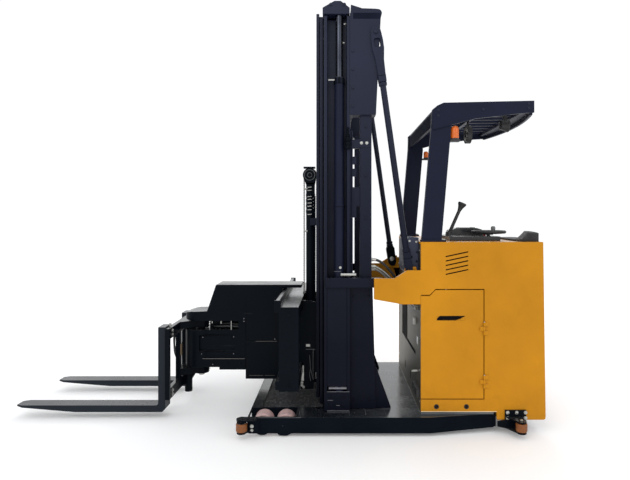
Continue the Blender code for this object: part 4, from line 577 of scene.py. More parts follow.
def tube(points, radius, sides=12):
    """A swept round tube along points, capped."""
    points = [Vector(point) for point in points]
    bm = bmesh.new()
    rings = []
    normal = None
    for step, point in enumerate(points):
        before = points[max(step - 1, 0)]
        after = points[min(step + 1, len(points) - 1)]
        way = (after - before).normalized()
        if normal is None:
            normal = way.orthogonal().normalized()
        normal = (normal - way * normal.dot(way)).normalized()
        across = way.cross(normal)
        rings.append([bm.verts.new(point + (normal * math.cos(math.tau * k / sides)
                                            + across * math.sin(math.tau * k / sides)) * radius)
                      for k in range(sides)])
    for lower, upper in zip(rings, rings[1:]):
        for k in range(sides):
            bm.faces.new((lower[k], lower[(k + 1) % sides], upper[(k + 1) % sides], upper[k]))
    bm.faces.new(rings[0])
    bm.faces.new(rings[-1])
    bmesh.ops.recalc_face_normals(bm, faces=bm.faces)
    return bm


def merged(*solids):
    """Several solids in one bmesh."""
    whole = bmesh.new()
    for solid in solids:
        mesh = bpy.data.meshes.new("solid")
        solid.to_mesh(mesh)
        solid.free()
        whole.from_mesh(mesh)
        bpy.data.meshes.remove(mesh)
    return whole


def turned_by(bm, centre, way, angle):
    """A solid turned about a line through a point."""
    turn = Matrix.Rotation(math.radians(angle), 4, Vector(way))
    matrix = Matrix.Translation(centre) @ turn @ Matrix.Translation(-Vector(centre))
    bmesh.ops.transform(bm, matrix=matrix, verts=bm.verts)
    return bm


def plain(name, bm):
    """A bare object from a bmesh."""
    mesh = bpy.data.meshes.new(name)
    bm.to_mesh(mesh)
    bm.free()
    made = bpy.data.objects.new(name, mesh)
    bpy.context.scene.collection.objects.link(made)
    return made


def evaluated(made):
    """The mesh of an object with its modifiers applied."""
    graph = bpy.context.evaluated_depsgraph_get()
    mesh = bpy.data.meshes.new_from_object(made.evaluated_get(graph), preserve_all_data_layers=True,
                                           depsgraph=graph)
    made.modifiers.clear()
    return mesh


def carved(bm, *tools):
    """A solid with other solids cut out of it."""
    made = plain("carved", bm)
    for tool in tools:
        cutter = plain("cutter", tool)
        step = made.modifiers.new("cut", "BOOLEAN")
        step.operation = "DIFFERENCE"
        step.solver = "EXACT"
        step.object = cutter
        made.data = evaluated(made)
        bpy.data.objects.remove(cutter)
    out = bmesh.new()
    out.from_mesh(made.data)
    bpy.data.objects.remove(made)
    return out


def ease(bm, width, segments, angle):
    """Rounds the sharp edges of a solid; edges too short to carry the radius stay."""
    limit = math.radians(angle)

    def room(edge):
        """The least mean width of the faces beside an edge."""
        return min(face.calc_area() for face in edge.link_faces) / max(edge.calc_length(), 1e-6)

    sharp = [edge for edge in bm.edges
             if len(edge.link_faces) == 2 and edge.calc_face_angle(0) > limit
             and edge.calc_length() > width * 0.4 and room(edge) > width * 2.05]
    if sharp:
        bmesh.ops.bevel(bm, geom=sharp, offset=width, offset_type="OFFSET", segments=segments,
                        profile=0.5, affect="EDGES", clamp_overlap=False)


def finished(name, bm, key, body="chassis", edge=0.0, segments=None, angle=30, crisp=42):
    """A finished piece from a solid or a list of them, on the body that it rides on."""
    if isinstance(bm, list):
        bm = merged(*bm)
    if edge:
        ease(bm, edge, segments or sizes().segments, angle)
    made = plain(name, bm)
    made.data.shade_smooth()
    made.data.set_sharp_from_angle(angle=math.radians(crisp))
    even = made.modifiers.new("even", "WEIGHTED_NORMAL")
    even.keep_sharp = True
    even.weight = 80
    made.data = evaluated(made)
    made.data.name = name
    made.data.materials.clear()
    made.data.materials.append(look(key))
    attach(made, body)
    return made


def body_of(node):
    """The body that a node of the frame rides on."""
    parent = NODES[node].parent
    return next(name for name, empty in frame["bodies"].items() if empty is parent)


def solid_of(node):
    """A welded copy of a node's mesh, with its flat faces joined."""
    bm = bmesh.new()
    bm.from_mesh(NODES[node].data)
    bmesh.ops.remove_doubles(bm, verts=bm.verts, dist=1e-5)
    bmesh.ops.dissolve_limit(bm, angle_limit=math.radians(0.5), verts=bm.verts, edges=bm.edges)
    return bm


def dress(node, key, edge=None, cuts=(), adds=(), angle=30, segments=None, crisp=42):
    """A node's own shape with eased edges, further cuts and additions, and its finish."""
    bm = solid_of(node)
    if cuts:
        bm = carved(bm, *cuts)
        bmesh.ops.dissolve_limit(bm, angle_limit=math.radians(0.5), verts=bm.verts, edges=bm.edges)
    if adds:
        bm = merged(bm, *adds)
    made = finished(f"{node}_dressed", bm, key, body_of(node), sizes().edge if edge is None else edge,
                    segments, angle, crisp)
    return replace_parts(made, node)


# Trees for what repeats

class Tree:
    """A geometry tree with named inputs, ending in real geometry with a material."""

    def __init__(self, name, inputs):
        self.tree = bpy.data.node_groups.new(name, "GeometryNodeTree")
        face = self.tree.interface
        face.new_socket("Geometry", in_out="INPUT", socket_type="NodeSocketGeometry")
        for label, kind, default in inputs:
            socket = face.new_socket(label, in_out="INPUT", socket_type=kind)
            if default is not None:
                socket.default_value = default
        face.new_socket("Geometry", in_out="OUTPUT", socket_type="NodeSocketGeometry")
        self.inside = self.tree.nodes.new("NodeGroupInput").outputs
        self.out = self.tree.nodes.new("NodeGroupOutput")

    def add(self, kind, links=None, **values):
        """A node; links bring sockets or values to inputs by name or number."""
        made = self.tree.nodes.new(kind)
        for key, value in values.items():
            setattr(made, key, value)
        for key, value in (links or {}).items():
            if isinstance(value, bpy.types.NodeSocket):
                self.tree.links.new(value, made.inputs[key])
            else:
                made.inputs[key].default_value = value
        return made

    def sum(self, operation, first, second=0.0):
        """A sum, product or other step on one or two values."""
        return self.add("ShaderNodeMath", {0: first, 1: second}, operation=operation).outputs[0]

    def vector(self, x=0.0, y=0.0, z=0.0):
        return self.add("ShaderNodeCombineXYZ", {0: x, 1: y, 2: z}).outputs[0]

    def shift(self, geometry, x=0.0, y=0.0, z=0.0):
        """Geometry moved along the axes."""
        return self.add("GeometryNodeTransform",
                        {"Geometry": geometry, "Translation": self.vector(x, y, z)}).outputs[0]

    def join(self, *parts):
        joint = self.add("GeometryNodeJoinGeometry")
        for item in parts:
            self.tree.links.new(item, joint.inputs[0])
        return joint.outputs[0]

    def finish(self, geometry):
        """Ends the tree in realized instances with the material of the inputs."""
        real = self.add("GeometryNodeRealizeInstances", {"Geometry": geometry}).outputs[0]
        dressed = self.add("GeometryNodeSetMaterial",
                           {"Geometry": real, "Material": self.inside["Material"]})
        self.tree.links.new(dressed.outputs[0], self.out.inputs[0])
        return self.tree


def fastener_tree():
    """Screw heads on points: six-sided with a chamfer and a washer, or round with more sides."""
    made = Tree("Fasteners", (("Half Width", "NodeSocketFloat", 0.008),
                              ("Height", "NodeSocketFloat", 0.006), ("Sides", "NodeSocketInt", 6),
                              ("Washer", "NodeSocketFloat", 0.012),
                              ("Material", "NodeSocketMaterial", None)))
    half, height = made.inside["Half Width"], made.inside["Height"]
    head = made.add("GeometryNodeMeshCylinder", {"Vertices": made.inside["Sides"], "Radius": half,
                                                 "Depth": height})
    head = made.shift(head.outputs[0], z=made.sum("MULTIPLY", height, 0.5))
    cap = made.add("GeometryNodeMeshCone", {"Vertices": made.inside["Sides"], "Radius Bottom": half,
                                            "Radius Top": made.sum("MULTIPLY", half, 0.80),
                                            "Depth": made.sum("MULTIPLY", height, 0.22)})
    cap = made.shift(cap.outputs[0], z=height)
    ring = made.add("GeometryNodeMeshCylinder", {"Vertices": 20, "Radius": made.inside["Washer"],
                                                 "Depth": 0.0036})
    shape = made.join(head, cap, ring.outputs[0])
    facing = made.add("GeometryNodeInputNamedAttribute", {"Name": "facing"}, data_type="FLOAT_VECTOR")
    turn = made.add("FunctionNodeAlignRotationToVector", {"Vector": facing.outputs[0]}, axis="Z")
    chance = made.add("FunctionNodeRandomValue", {"Seed": 7}, data_type="FLOAT")
    chance.inputs[3].default_value = math.pi / 3
    spin = made.add("FunctionNodeAxisAngleToRotation", {"Axis": (0, 0, 1), "Angle": chance.outputs[1]})
    both = made.add("FunctionNodeRotateRotation", {"Rotation": turn.outputs[0],
                                                   "Rotate By": spin.outputs[0]},
                    rotation_space="LOCAL")
    spread = made.add("GeometryNodeInstanceOnPoints",
                      {"Points": made.inside["Geometry"], "Instance": shape,
                       "Rotation": both.outputs[0]})
    return made.finish(spread.outputs[0])


def row_tree():
    """One shape repeated in a straight row from each point of the input."""
    made = Tree("Rows", (("Count", "NodeSocketInt", 5), ("Step", "NodeSocketVector", (0, 0, 0.03)),
                         ("Size", "NodeSocketVector", (0.1, 0.01, 0.01)),
                         ("Turn", "NodeSocketRotation", (0, 0, 0)),
                         ("Material", "NodeSocketMaterial", None)))
    line = made.add("GeometryNodeMeshLine", {"Count": made.inside["Count"],
                                             "Offset": made.inside["Step"]},
                    mode="OFFSET")
    cube = made.add("GeometryNodeMeshCube", {"Size": made.inside["Size"]})
    row = made.add("GeometryNodeInstanceOnPoints", {"Points": line.outputs[0],
                                                    "Instance": cube.outputs[0],
                                                    "Rotation": made.inside["Turn"]})
    spread = made.add("GeometryNodeInstanceOnPoints",
                      {"Points": made.inside["Geometry"], "Instance": row.outputs[0]})
    return made.finish(spread.outputs[0])


def chain_tree():
    """Leaf chain along a curve: plates in two alternating packs with pins across."""
    made = Tree("Leaf Chain", (("Pitch", "NodeSocketFloat", 0.019), ("Width", "NodeSocketFloat", 0.024),
                               ("Thickness", "NodeSocketFloat", 0.012),
                               ("Material", "NodeSocketMaterial", None)))
    pitch, width, thick = (made.inside[name] for name in ("Pitch", "Width", "Thickness"))
    line = made.add("GeometryNodeResampleCurve", {"Curve": made.inside["Geometry"], "Length": pitch},
                    mode="LENGTH").outputs[0]
    quarter = made.sum("MULTIPLY", width, 0.25)
    half = made.sum("MULTIPLY", thick, 0.5)
    eyes = []
    for end in (-0.5, 0.5):
        eye = made.add("GeometryNodeMeshCylinder",
                       {"Vertices": 12, "Radius": half, "Depth": made.sum("MULTIPLY", quarter, 0.62)})
        eye = made.add("GeometryNodeTransform", {"Geometry": eye.outputs[0],
                                                 "Rotation": (math.pi / 2, 0, 0)}).outputs[0]
        eyes.append(made.shift(eye, z=made.sum("MULTIPLY", pitch, end)))
    waist = made.add("GeometryNodeMeshCube", {"Size": made.vector(made.sum("MULTIPLY", thick, 0.72),
                                                                  made.sum("MULTIPLY", quarter, 0.60),
                                                                  pitch)})
    plate = made.join(*eyes, waist.outputs[0])
    pin = made.add("GeometryNodeMeshCylinder",
                   {"Vertices": 10, "Radius": made.sum("MULTIPLY", thick, 0.26),
                                                "Depth": made.sum("MULTIPLY", width, 1.0)})
    pin = made.add("GeometryNodeTransform", {"Geometry": pin.outputs[0],
                                             "Rotation": (math.pi / 2, 0, 0)})
    pin = made.shift(pin.outputs[0], z=made.sum("MULTIPLY", pitch, 0.5))
    index = made.add("GeometryNodeInputIndex").outputs[0]
    odd = made.add("FunctionNodeCompare", {2: made.add("FunctionNodeIntegerMath", {0: index, 1: 2},
                                                       operation="MODULO").outputs[0], 3: 0},
                   data_type="INT", operation="EQUAL").outputs[0]
    even = made.add("FunctionNodeBooleanMath", {0: odd}, operation="NOT").outputs[0]
    tangent = made.add("GeometryNodeInputTangent").outputs[0]
    first = made.add("FunctionNodeAlignRotationToVector", {"Vector": tangent}, axis="Z").outputs[0]
    turn = made.add("FunctionNodeAlignRotationToVector", {"Rotation": first, "Vector": (0, 1, 0)},
                    axis="Y", pivot_axis="Z").outputs[0]
    packs = []
    for pick, places in ((odd, (-1.5, 0.5)), (even, (-0.5, 1.5))):
        pack = made.join(pin, *(made.shift(plate, y=made.sum("MULTIPLY", quarter, place))
                                for place in places))
        packs.append(made.add("GeometryNodeInstanceOnPoints",
                              {"Points": line, "Selection": pick, "Instance": pack,
                               "Rotation": turn}).outputs[0])
    return made.finish(made.join(*packs))


TREES = {}


def grown(name, source, recipe, body, key, slot=None, crisp=42, **values):
    """A plain mesh made by a tree from a source object; inputs are set by their socket's name."""
    if recipe not in TREES:
        TREES[recipe] = recipe()
    tree = TREES[recipe]
    step = source.modifiers.new("grow", "NODES")
    step.node_group = tree
    values["Material"] = look(key)
    for item in tree.interface.items_tree:
        if item.in_out == "INPUT" and item.name in values:
            step[item.identifier] = values[item.name]
    source.update_tag()
    mesh = evaluated(source)
    bpy.data.objects.remove(source)
    if not mesh.polygons:
        raise RuntimeError(f"{name}: the tree gave no faces")
    mesh.name = name
    made = bpy.data.objects.new(name, mesh)
    bpy.context.scene.collection.objects.link(made)
    mesh.shade_smooth()
    mesh.set_sharp_from_angle(angle=math.radians(crisp))
    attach(made, body)
    return made


def points_object(name, points, facing=None):
    """An object of loose points, each with the direction that it faces."""
    mesh = bpy.data.meshes.new(name)
    mesh.from_pydata([tuple(point) for point in points], [], [])
    if facing is not None:
        ways = mesh.attributes.new("facing", "FLOAT_VECTOR", "POINT")
        for slot, way in zip(ways.data, facing):
            slot.vector = way
    made = bpy.data.objects.new(name, mesh)
    bpy.context.scene.collection.objects.link(made)
    return made


def bolts(name, body, heads, half=None, height=None, sides=6, washer=1.45, key="zinc"):
    """Bolt heads on one body; each head is a point and the direction that it faces."""
    half = half or sizes().bolt
    source = points_object(name, *zip(*heads))
    return grown(name, source, fastener_tree, body, key, **{
        "Half Width": half, "Height": height or half * 0.7, "Sides": sides, "Washer": half * washer})


def outward(sign, y, places):
    """Heads that face out from one side, at (x, z) places measured at the mast datum."""
    return [((d(x), sign * y, z), (0, sign, 0)) for x, z in places]


def rows(name, body, starts, count, step, size, key, turn=(0, 0, 0)):
    """Straight rows of small bars from each start point."""
    source = points_object(name, starts)
    return grown(name, source, row_tree, body, key, Count=count, Step=step, Size=size, Turn=turn)


def chain(name, body, route, width, thickness):
    """Leaf chain along points of a route."""
    curve = bpy.data.curves.new(name, "CURVE")
    curve.dimensions = "3D"
    spline = curve.splines.new("POLY")
    spline.points.add(len(route) - 1)
    for slot, point in zip(spline.points, route):
        slot.co = (*point, 1)
    source = bpy.data.objects.new(name, curve)
    bpy.context.scene.collection.objects.link(source)
    return grown(name, source, chain_tree, body, "dark_steel", Pitch=sizes().pitch, Width=width,
                 Thickness=thickness)


# Pieces of the truck

class TRUCK_OT_chassis(bpy.types.Operator):
    """Platform chassis with its grit floor, edge strips, bolts, lugs, scrapers and sills"""
    bl_idname = "truck.chassis"
    bl_label = "Chassis"

    def execute(self, context):
        dress("base_frame", "deck", 0.0018)
        sheet = [(d(-0.516), -0.484), (d(-0.088), -0.484), (d(-0.088), 0.484), (d(-0.516), 0.484)]
        front = slab((-0.5245, -0.5165), (-0.492, 0.492), (0.1318, 0.1352))
        finished("grit_floor_edge", front, "void")
        finished("front_strip", slab((-0.588, -0.528), (-0.492, 0.492), (0.1318, 0.1330)), "strip")
        finished("chassis_grit_floor", prism("Z", sheet, DECK_TOP - 0.0002, DECK_TOP + 0.0022), "grit",
                 "chassis", 0.0008)
        heads = []
        for sign in BOTH:
            heads += outward(sign, 0.697, ((-0.568, 0.047), (-0.568, 0.077)))
            heads.append(((d(-0.635), sign * 0.715, 0.125), (0, 0, 1)))
        bolts("chassis_bracket_bolts", "chassis", heads)
        pins = [pin for sign in BOTH for pin in outward(sign, 0.685, ((-0.500, 0.068), (-0.345, 0.068)))]
        bolts("chassis_axle_caps", "chassis", pins, 0.013, 0.0022, 24, 0.2, "deck")
        # Rounded lug over each front roller, scrapers under the skirt, a painted highlight along its top
        # edge and a slot mark
        lugs, scrapers, highlights_and_marks = [], [], []
        for sign in BOTH:
            lug = [(x, sign * y) for x, y in arc((d(-0.635), 0.715), 0.0355, 90, 270, 16)]
            lug += [(d(-0.530), sign * 0.690), (d(-0.530), sign * 0.744)]
            lugs.append(prism("Z", lug if sign < 0 else lug[::-1], 0.1262, 0.1375))
            for outline in ([(-0.550, 0.034), (-0.530, 0.017), (-0.513, 0.011), (-0.487, 0.011),
                             (-0.470, 0.017), (-0.450, 0.034)],
                            [(-0.408, 0.034), (-0.388, 0.013), (-0.372, 0.007), (-0.330, 0.007),
                             (-0.306, 0.018), (-0.285, 0.034)]):
                scrapers.append(prism("Y", [(d(x), z) for x, z in outline], *side(sign, 0.672, 0.6835)))
            highlights_and_marks.append(slab((-0.596, -0.233), side(sign, 0.6835, 0.6855), (0.1305, 0.1328)))
            highlights_and_marks.append(slab((-0.362, -0.336), side(sign, 0.6845, 0.6856), (0.0735, 0.0752)))
        finished("front_roller_lugs", lugs, "black", "chassis", 0.0024)
        finished("skirt_scrapers", scrapers, "deck", "chassis", 0.0010)
        finished("skirt_highlights_and_marks", highlights_and_marks, "grey")
        # Folded lip along the step to the rear deck
        lip = slab((1.108, 1.116), (-0.600, 0.600), (0.292, 0.3035))
        finished("rear_deck_lip", lip, "zinc", "chassis", 0.0012)
        # Sills that close the gap under the body sides, and plates that close the skirt's rear end
        sills, ends = [], []
        for sign in BOTH:
            sills.append(slab((0.600, 1.106), side(sign, 0.6048, 0.6235), (0.1322, 0.1487)))
            ends.append(slab((1.1103, 1.1255), side(sign, 0.585, 0.611), (0.042, 0.131)))
        finished("body_sills", sills, "grey", "chassis", 0.0008)
        finished("skirt_end_plates", ends, "deck", "chassis", 0.0012)
        return {"FINISHED"}


def wheel_parts(node, radius, half, bore, dish, way=(0, 1, 0), hub_key="dark_steel", tread_key="tread"):
    """A cast tread with eased shoulders and fine grooves, on a hub dished at both faces."""
    low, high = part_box(node)
    centre = (low + high) / 2
    body = body_of(node)
    rim = radius * 0.74
    tread = [(rim, -half + 0.001), (rim + 0.004, -half), (radius - 0.010, -half)]
    tread += arc((radius - 0.008, -half + 0.008), 0.008, -90, 0, 5)
    grooves = 3
    for groove in range(1, grooves + 1):
        z = -half + 0.008 + (2 * half - 0.016) * groove / (grooves + 1)
        tread += [(radius, z - 0.0012), (radius - 0.0007, z - 0.0006), (radius - 0.0007, z + 0.0006),
                  (radius, z + 0.0012)]
    tread += arc((radius - 0.008, half - 0.008), 0.008, 0, 90, 5)
    tread += [(rim + 0.004, half), (rim, half - 0.001)]
    shown = finished(f"{node}_tread", lathe(tread, centre, way, 72), tread_key, body)
    hub = [(bore, -half + dish + 0.006), (bore + 0.016, -half + dish + 0.006),
           (bore + 0.018, -half + dish), (rim - 0.008, -half + dish),
           (rim - 0.003, -half + dish - 0.002), (rim, -half + 0.002),
           (rim, half - 0.002), (rim - 0.003, half - dish + 0.002), (rim - 0.008, half - dish),
           (bore + 0.018, half - dish), (bore + 0.016, half - dish), (bore, half - dish)]
    finished(f"{node}_hub", lathe(hub, centre, way, 48), hub_key, body)
    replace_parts(shown, node)


class TRUCK_OT_load_wheels(bpy.types.Operator):
    """Four load wheels: cast tread on a steel hub"""
    bl_idname = "truck.load_wheels"
    bl_label = "Load wheels"

    def execute(self, context):
        for place in ("front", "rear"):
            for name in ("left", "right"):
                wheel_parts(f"load_wheel_{place}_{name}", radius=0.068, half=0.055, bore=0.0157,
                            dish=0.006)
        return {"FINISHED"}


class TRUCK_OT_guide_rollers(bpy.types.Operator):
    """Four guide rollers with an orange cast tread, and the two front brackets"""
    bl_idname = "truck.guide_rollers"
    bl_label = "Guide rollers"

    def execute(self, context):
        for place in ("front", "rear"):
            for name in ("left", "right"):
                node = f"guide_roller_{place}_{name}"
                low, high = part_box(node)
                half = (high.z - low.z) / 2
                wheel_parts(node, 0.038, half, 0.0087, 0.004, (0, 0, 1), "zinc", "roller")
        for name in ("left", "right"):
            dress(f"guide_bracket_{name}", "black", 0.0014)
        return {"FINISHED"}


class TRUCK_OT_mast(bpy.types.Operator):
    """Three mast stages with their bolts, feet, pipes, clips and pad screws"""
    bl_idname = "truck.mast"
    bl_label = "Mast stages"

    def execute(self, context):
        for node in ("mast_outer", "mast_middle", "mast_inner"):
            dress(node, "navy", 0.0028)
        heads, feet = [], []
        for sign in BOTH:
            # Foot block in the recess, rear support and gusset
            feet += outward(sign, 0.570, ((-0.030, 0.175), (0.058, 0.175), (-0.030, 0.238),
                                          (0.058, 0.238)))
            heads += outward(sign, 0.520, ((0.135, 0.200), (0.250, 0.200), (0.135, 0.940),
                                           (0.240, 0.940)))
            heads += outward(sign, 0.552, ((0.219, z) for z in (1.300, 1.500, 1.800, 2.150)))
            heads += outward(sign, 0.575, ((0.125, z) for z in (2.290, 2.420, 2.550, 2.680)))
            for z in (1.024, 1.064):
                heads.append(((d(0.250), sign * 0.5965, z), (0, sign, 0)))
                heads.append(((d(-0.045), sign * 0.5965, z), (0, sign, 0)))
        bolts("mast_outer_bolts", "chassis", heads, 0.0085, 0.006, key="navy")
        bolts("mast_foot_bolts", "chassis", feet, 0.0095, 0.007, key="navy")
        # Foot shelf and ledges, pale zinc strips put in as painted highlights; pipes, chain anchor,
        # strut plates and clips behind the barrel
        highlight_shelves, edges, pipes, anchors, struts, zinc = [], [], [], [], [], []
        for sign in BOTH:
            slope = [(sign * 0.569, 0.288), (sign * 0.5715, 0.290), (sign * 0.5515, 0.3125),
                     (sign * 0.549, 0.3105)]
            highlight_shelves.append(prism("X", slope, d(-0.044), d(0.081)))
            edges.append(slab((-0.056, 0.102), side(sign, 0.5695, 0.5722), (0.2695, 0.2725)))
            edges.append(slab((-0.056, 0.102), side(sign, 0.5695, 0.5725), (0.1335, 0.1405)))
            edges.append(slab((-0.053, -0.014), side(sign, 0.5695, 0.5718), (0.209, 0.2115)))
            edges.append(slab((0.008, 0.034), side(sign, 0.5695, 0.5722), (0.1720, 0.1755)))
            edges.append(slab((-0.008, 0.041), side(sign, 0.585, 0.5905), (1.1225, 1.1245)))
            zinc.append(bar((d(0.041), sign * 0.580, 1.100), (d(0.149), sign * 0.580, 1.100), 0.0105, 6))
            zinc.append(bar((d(0.0375), sign * 0.578, 1.151), (d(0.0375), sign * 0.590, 1.151), 0.009,
                            16))
            zinc.append(bar((d(-0.004), sign * 0.5575, 2.480), (d(-0.047), sign * 0.5575, 2.480), 0.0055,
                            6))
            for x in (0.1095, 0.1212):
                pipes.append(bar((d(x), sign * 0.5508, 1.064), (d(x), sign * 0.5508, 2.120), 0.0055, 14))
            profile = [(0.002, 1.985), (0.019, 1.987), (0.019, 2.006), (0.013, 2.008), (0.013, 2.013),
                       (0.020, 2.015), (0.020, 2.034), (0.013, 2.036), (0.013, 2.042), (0.020, 2.044),
                       (0.020, 2.062), (0.012, 2.064), (0.012, 2.072), (0.016, 2.074), (0.016, 2.088),
                       (0.008, 2.092), (0.008, 2.140), (0.002, 2.142)]
            anchors.append(lathe(profile, (d(0.092), sign * 0.576, 0), (0, 0, 1), 20))
            struts.append(slab((0.124, 0.247), side(sign, 0.5521, 0.5560), (2.000, 2.058)))
            struts.append(slab((0.104, 0.1262), side(sign, 0.5453, 0.5492), (1.064, 2.115)))
            for low, high in ((1.880, 1.937), (1.794, 1.851), (1.503, 1.588)):
                struts.append(slab((0.123, 0.152), side(sign, 0.5455, 0.5500), (low, high)))
        bands = [slab((0.128, 0.320), side(sign, 0.5750, 0.5757), (2.908, 2.950)) for sign in BOTH]
        finished("gusset_shadow_bands", bands, "matte")
        finished("mast_foot_highlight_shelves", highlight_shelves, "dull", "chassis", 0.0006)
        finished("mast_foot_highlight_ledges", edges, "dull")
        finished("mast_pipes", pipes, "navy")
        finished("chain_anchors", anchors, "black")
        finished("mast_strut_plates", struts, "navy", "chassis", 0.0008)
        finished("mast_fittings", zinc, "zinc")
        tied = [head for sign in BOTH for head in outward(sign, 0.556,
                                                          ((0.188, 2.033), (0.2257, 2.033)))]
        bolts("strut_bolts", "chassis", tied, 0.0075, 0.005)
        clips = [head for sign in BOTH for head in outward(sign, 0.4902,
                                                           ((0.062, 2.765), (0.0705, 2.901)))]
        bolts("mast_clip_screws", "chassis", clips, 0.006, 0.005, 16, 1.2)
        caps = [head for sign in BOTH for head in outward(sign, 0.5698, ((0.020, 0.240),))]
        bolts("mast_foot_caps", "chassis", caps, 0.024, 0.0022, 32, 0.15, "navy")
        caps = [head for sign in BOTH for head in outward(sign, 0.570,
                                                          ((-0.030, 3.010), (0.066, 3.010)))]
        bolts("mast_cap_bolts", "mast_middle", caps, 0.009, 0.006, key="navy")
        pads = [((d(-0.078), sign * 0.434, z), (-1, 0, 0)) for sign in BOTH for z in (2.815, 2.905)]
        bolts("wear_pad_screws", "chassis", pads, 0.006, 0.004, 16, 1.2)
        inner_pads = [((d(-0.110), sign * 0.354, z), (-1, 0, 0)) for sign in BOTH
                      for z in (2.810, 2.900)]
        bolts("inner_pad_screws", "mast_middle", inner_pads, 0.006, 0.004, 16, 1.2)
        return {"FINISHED"}


class TRUCK_OT_lift_cylinders(bpy.types.Operator):
    """Main lift cylinders with gland nuts, wipers, seams and ports, and their dark rods"""
    bl_idname = "truck.lift_cylinders"
    bl_label = "Lift cylinders"

    def execute(self, context):
        for name, sign in SIDES:
            dress(f"lift_barrel_{name}", "guard", 0.0)
            dress(f"lift_rod_{name}", "rod", 0.0)
            x, y = d(BARREL[0]), sign * BARREL[1]
            seam = lathe([(0.030, 1.5785), (0.0388, 1.5785), (0.0388, 1.5820), (0.030, 1.5820)],
                         (x, y, 0))
            finished(f"barrel_seam_{name}", seam, "void")
            gland = lathe([(0.0255, 2.455), (0.0385, 2.455), (0.0395, 2.459), (0.0395, 2.492),
                           (0.037, 2.5005), (0.0255, 2.5005)], (x, y, 0), (0, 0, 1), 8)
            finished(f"gland_nut_{name}", gland, "black", "chassis", 0.001)
            wiper = lathe([(0.0252, 2.500), (0.031, 2.500), (0.029, 2.507), (0.0252, 2.508)], (x, y, 0))
            finished(f"rod_wiper_{name}", wiper, "plastic")
            port = merged(bar((x, y + sign * 0.030, 0.330), (x, y + sign * 0.0385, 0.330), 0.012, 6),
                          bar((x, y + sign * 0.026, 0.330), (x, y + sign * 0.0375, 0.330), 0.0095, 20))
            finished(f"barrel_port_{name}", port, "zinc")
        return {"FINISHED"}


class TRUCK_OT_free_lift(bpy.types.Operator):
    """Free lift cylinder, its yoke with the pulley, pipes and rings, and the leaf chain"""
    bl_idname = "truck.free_lift"
    bl_label = "Free lift and chain"

    def execute(self, context):
        x, z = d(-0.201), 1.850
        half, inner = 0.012, 0.018
        dress("free_lift_barrel", "black", 0.0)
        cheek = [(x - 0.030, z - 0.090), (x + 0.034, z - 0.090)] + arc((x - 0.005, z), 0.056, -20,
                                                                       200, 30)
        plates = [prism("Y", cheek, *side(sign, inner, inner + 0.010)) for sign in BOTH]
        base = block((x - 0.030, x + 0.034), (-inner - 0.010, inner + 0.010), (1.771, 1.789))
        lid = block((x - 0.055, x + 0.040), (-inner - 0.010, inner + 0.010), (1.9035, 1.9175))
        shown = finished("free_lift_yoke", merged(*plates, base, lid), "black", "free_lift", 0.0018)
        rings = []
        for sign in BOTH:
            for low, high in ((0.0405, 0.0445), (0.0165, 0.0200)):
                rings.append(lathe([(low, 0.0275), (low, 0.0293), (high, 0.0293), (high, 0.0275)],
                                   (x - 0.005, 0, z), (0, sign, 0), 40))
        finished("free_lift_rings", rings, "grey", "free_lift")
        gaiter = lathe([(0.0212, 1.700), (0.035, 1.700), (0.036, 1.706), (0.036, 1.770),
                        (0.0212, 1.770)], (d(-0.200), 0, 0))
        finished("free_lift_gaiter", gaiter, "black", "free_lift")
        lines = [bar((d(-0.165), sign * 0.0225, 0.560), (d(-0.165), sign * 0.0225, 1.680), 0.0060, 12)
                 for sign in BOTH]
        barrel = body_of("free_lift_barrel")
        finished("barrel_side_pipes", lines, "black", barrel)
        coils, more = [], []
        for sign in BOTH:
            for height in (1.672, 1.649, 1.620, 1.594, 1.565, 1.528):
                coils.append(bar((d(-0.222), sign * 0.0385, height),
                                 (d(-0.190), sign * 0.0385, height + 0.003), 0.0036, 10))
            for height in (1.660, 1.633, 1.606, 1.580):
                coils.append(bar((d(-0.180), sign * 0.0345, height), (d(-0.170), sign * 0.0320, height),
                                 0.0030, 10))
            for height in (1.748, 1.722):
                more.append(bar((d(-0.222), sign * 0.0370, height),
                                (d(-0.190), sign * 0.0370, height + 0.003), 0.0036, 10))
            more.append(bar((d(-0.225), sign * 0.0245, 1.738), (d(-0.256), sign * 0.0245, 1.738), 0.0065,
                            6))
            coils.append(bar((d(-0.225), sign * 0.0245, 1.394), (d(-0.256), sign * 0.0245, 1.394),
                             0.0065, 6))
        finished("barrel_clip_rings", coils, "zinc", barrel)
        finished("gaiter_clip_rings", more, "zinc", "free_lift")
        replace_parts(shown, "free_lift_head")
        rod = bar((d(-0.200), 0, 0.860), (d(-0.200), 0, 1.772), 0.020, 40)
        finished("free_lift_rod", rod, "rod", "free_lift")
        wheel = lathe([(0.016, -half), (0.040, -half), (0.0438, -half + 0.001), (0.0444, -half + 0.003),
                       (0.0438, -half + 0.004), (0.0438, half - 0.004), (0.0444, half - 0.003),
                       (0.0438, half - 0.001), (0.040, half), (0.016, half)], (x, 0, z), (0, 1, 0), 48)
        finished("free_lift_pulley", wheel, "zinc", "free_lift")
        pin = bar((x, -0.031, z), (x, 0.031, z), 0.012, 24)
        finished("pulley_pin", pin, "black", "free_lift")
        reach = 0.045 + 0.006
        wrap = [(px, 0, pz) for px, pz in arc((x, z), reach, 180, 0, 30)]
        tail = [(x + reach, 0, z - step * (z - 0.800) / 60) for step in range(1, 61)]
        chain("lift_chain_rear", "free_lift", wrap + tail, 0.024, 0.0115)
        front = x - reach
        route = [(front, 0, 0.8905 + step * (1.8495 - 0.8905) / 60) for step in range(61)]
        made = chain("lift_chain_front", "carriage", route, 0.024, 0.0115)
        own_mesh(made)
        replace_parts(made, "chain_front")
        anchor = merged(bar((front, 0, 0.8879), (front, 0, 0.898), 0.008, 6),
                        bar((front, 0, 0.8879), (front, 0, 0.8915), 0.0115, 24))
        finished("chain_anchor", anchor, "zinc", "carriage")
        return {"FINISHED"}


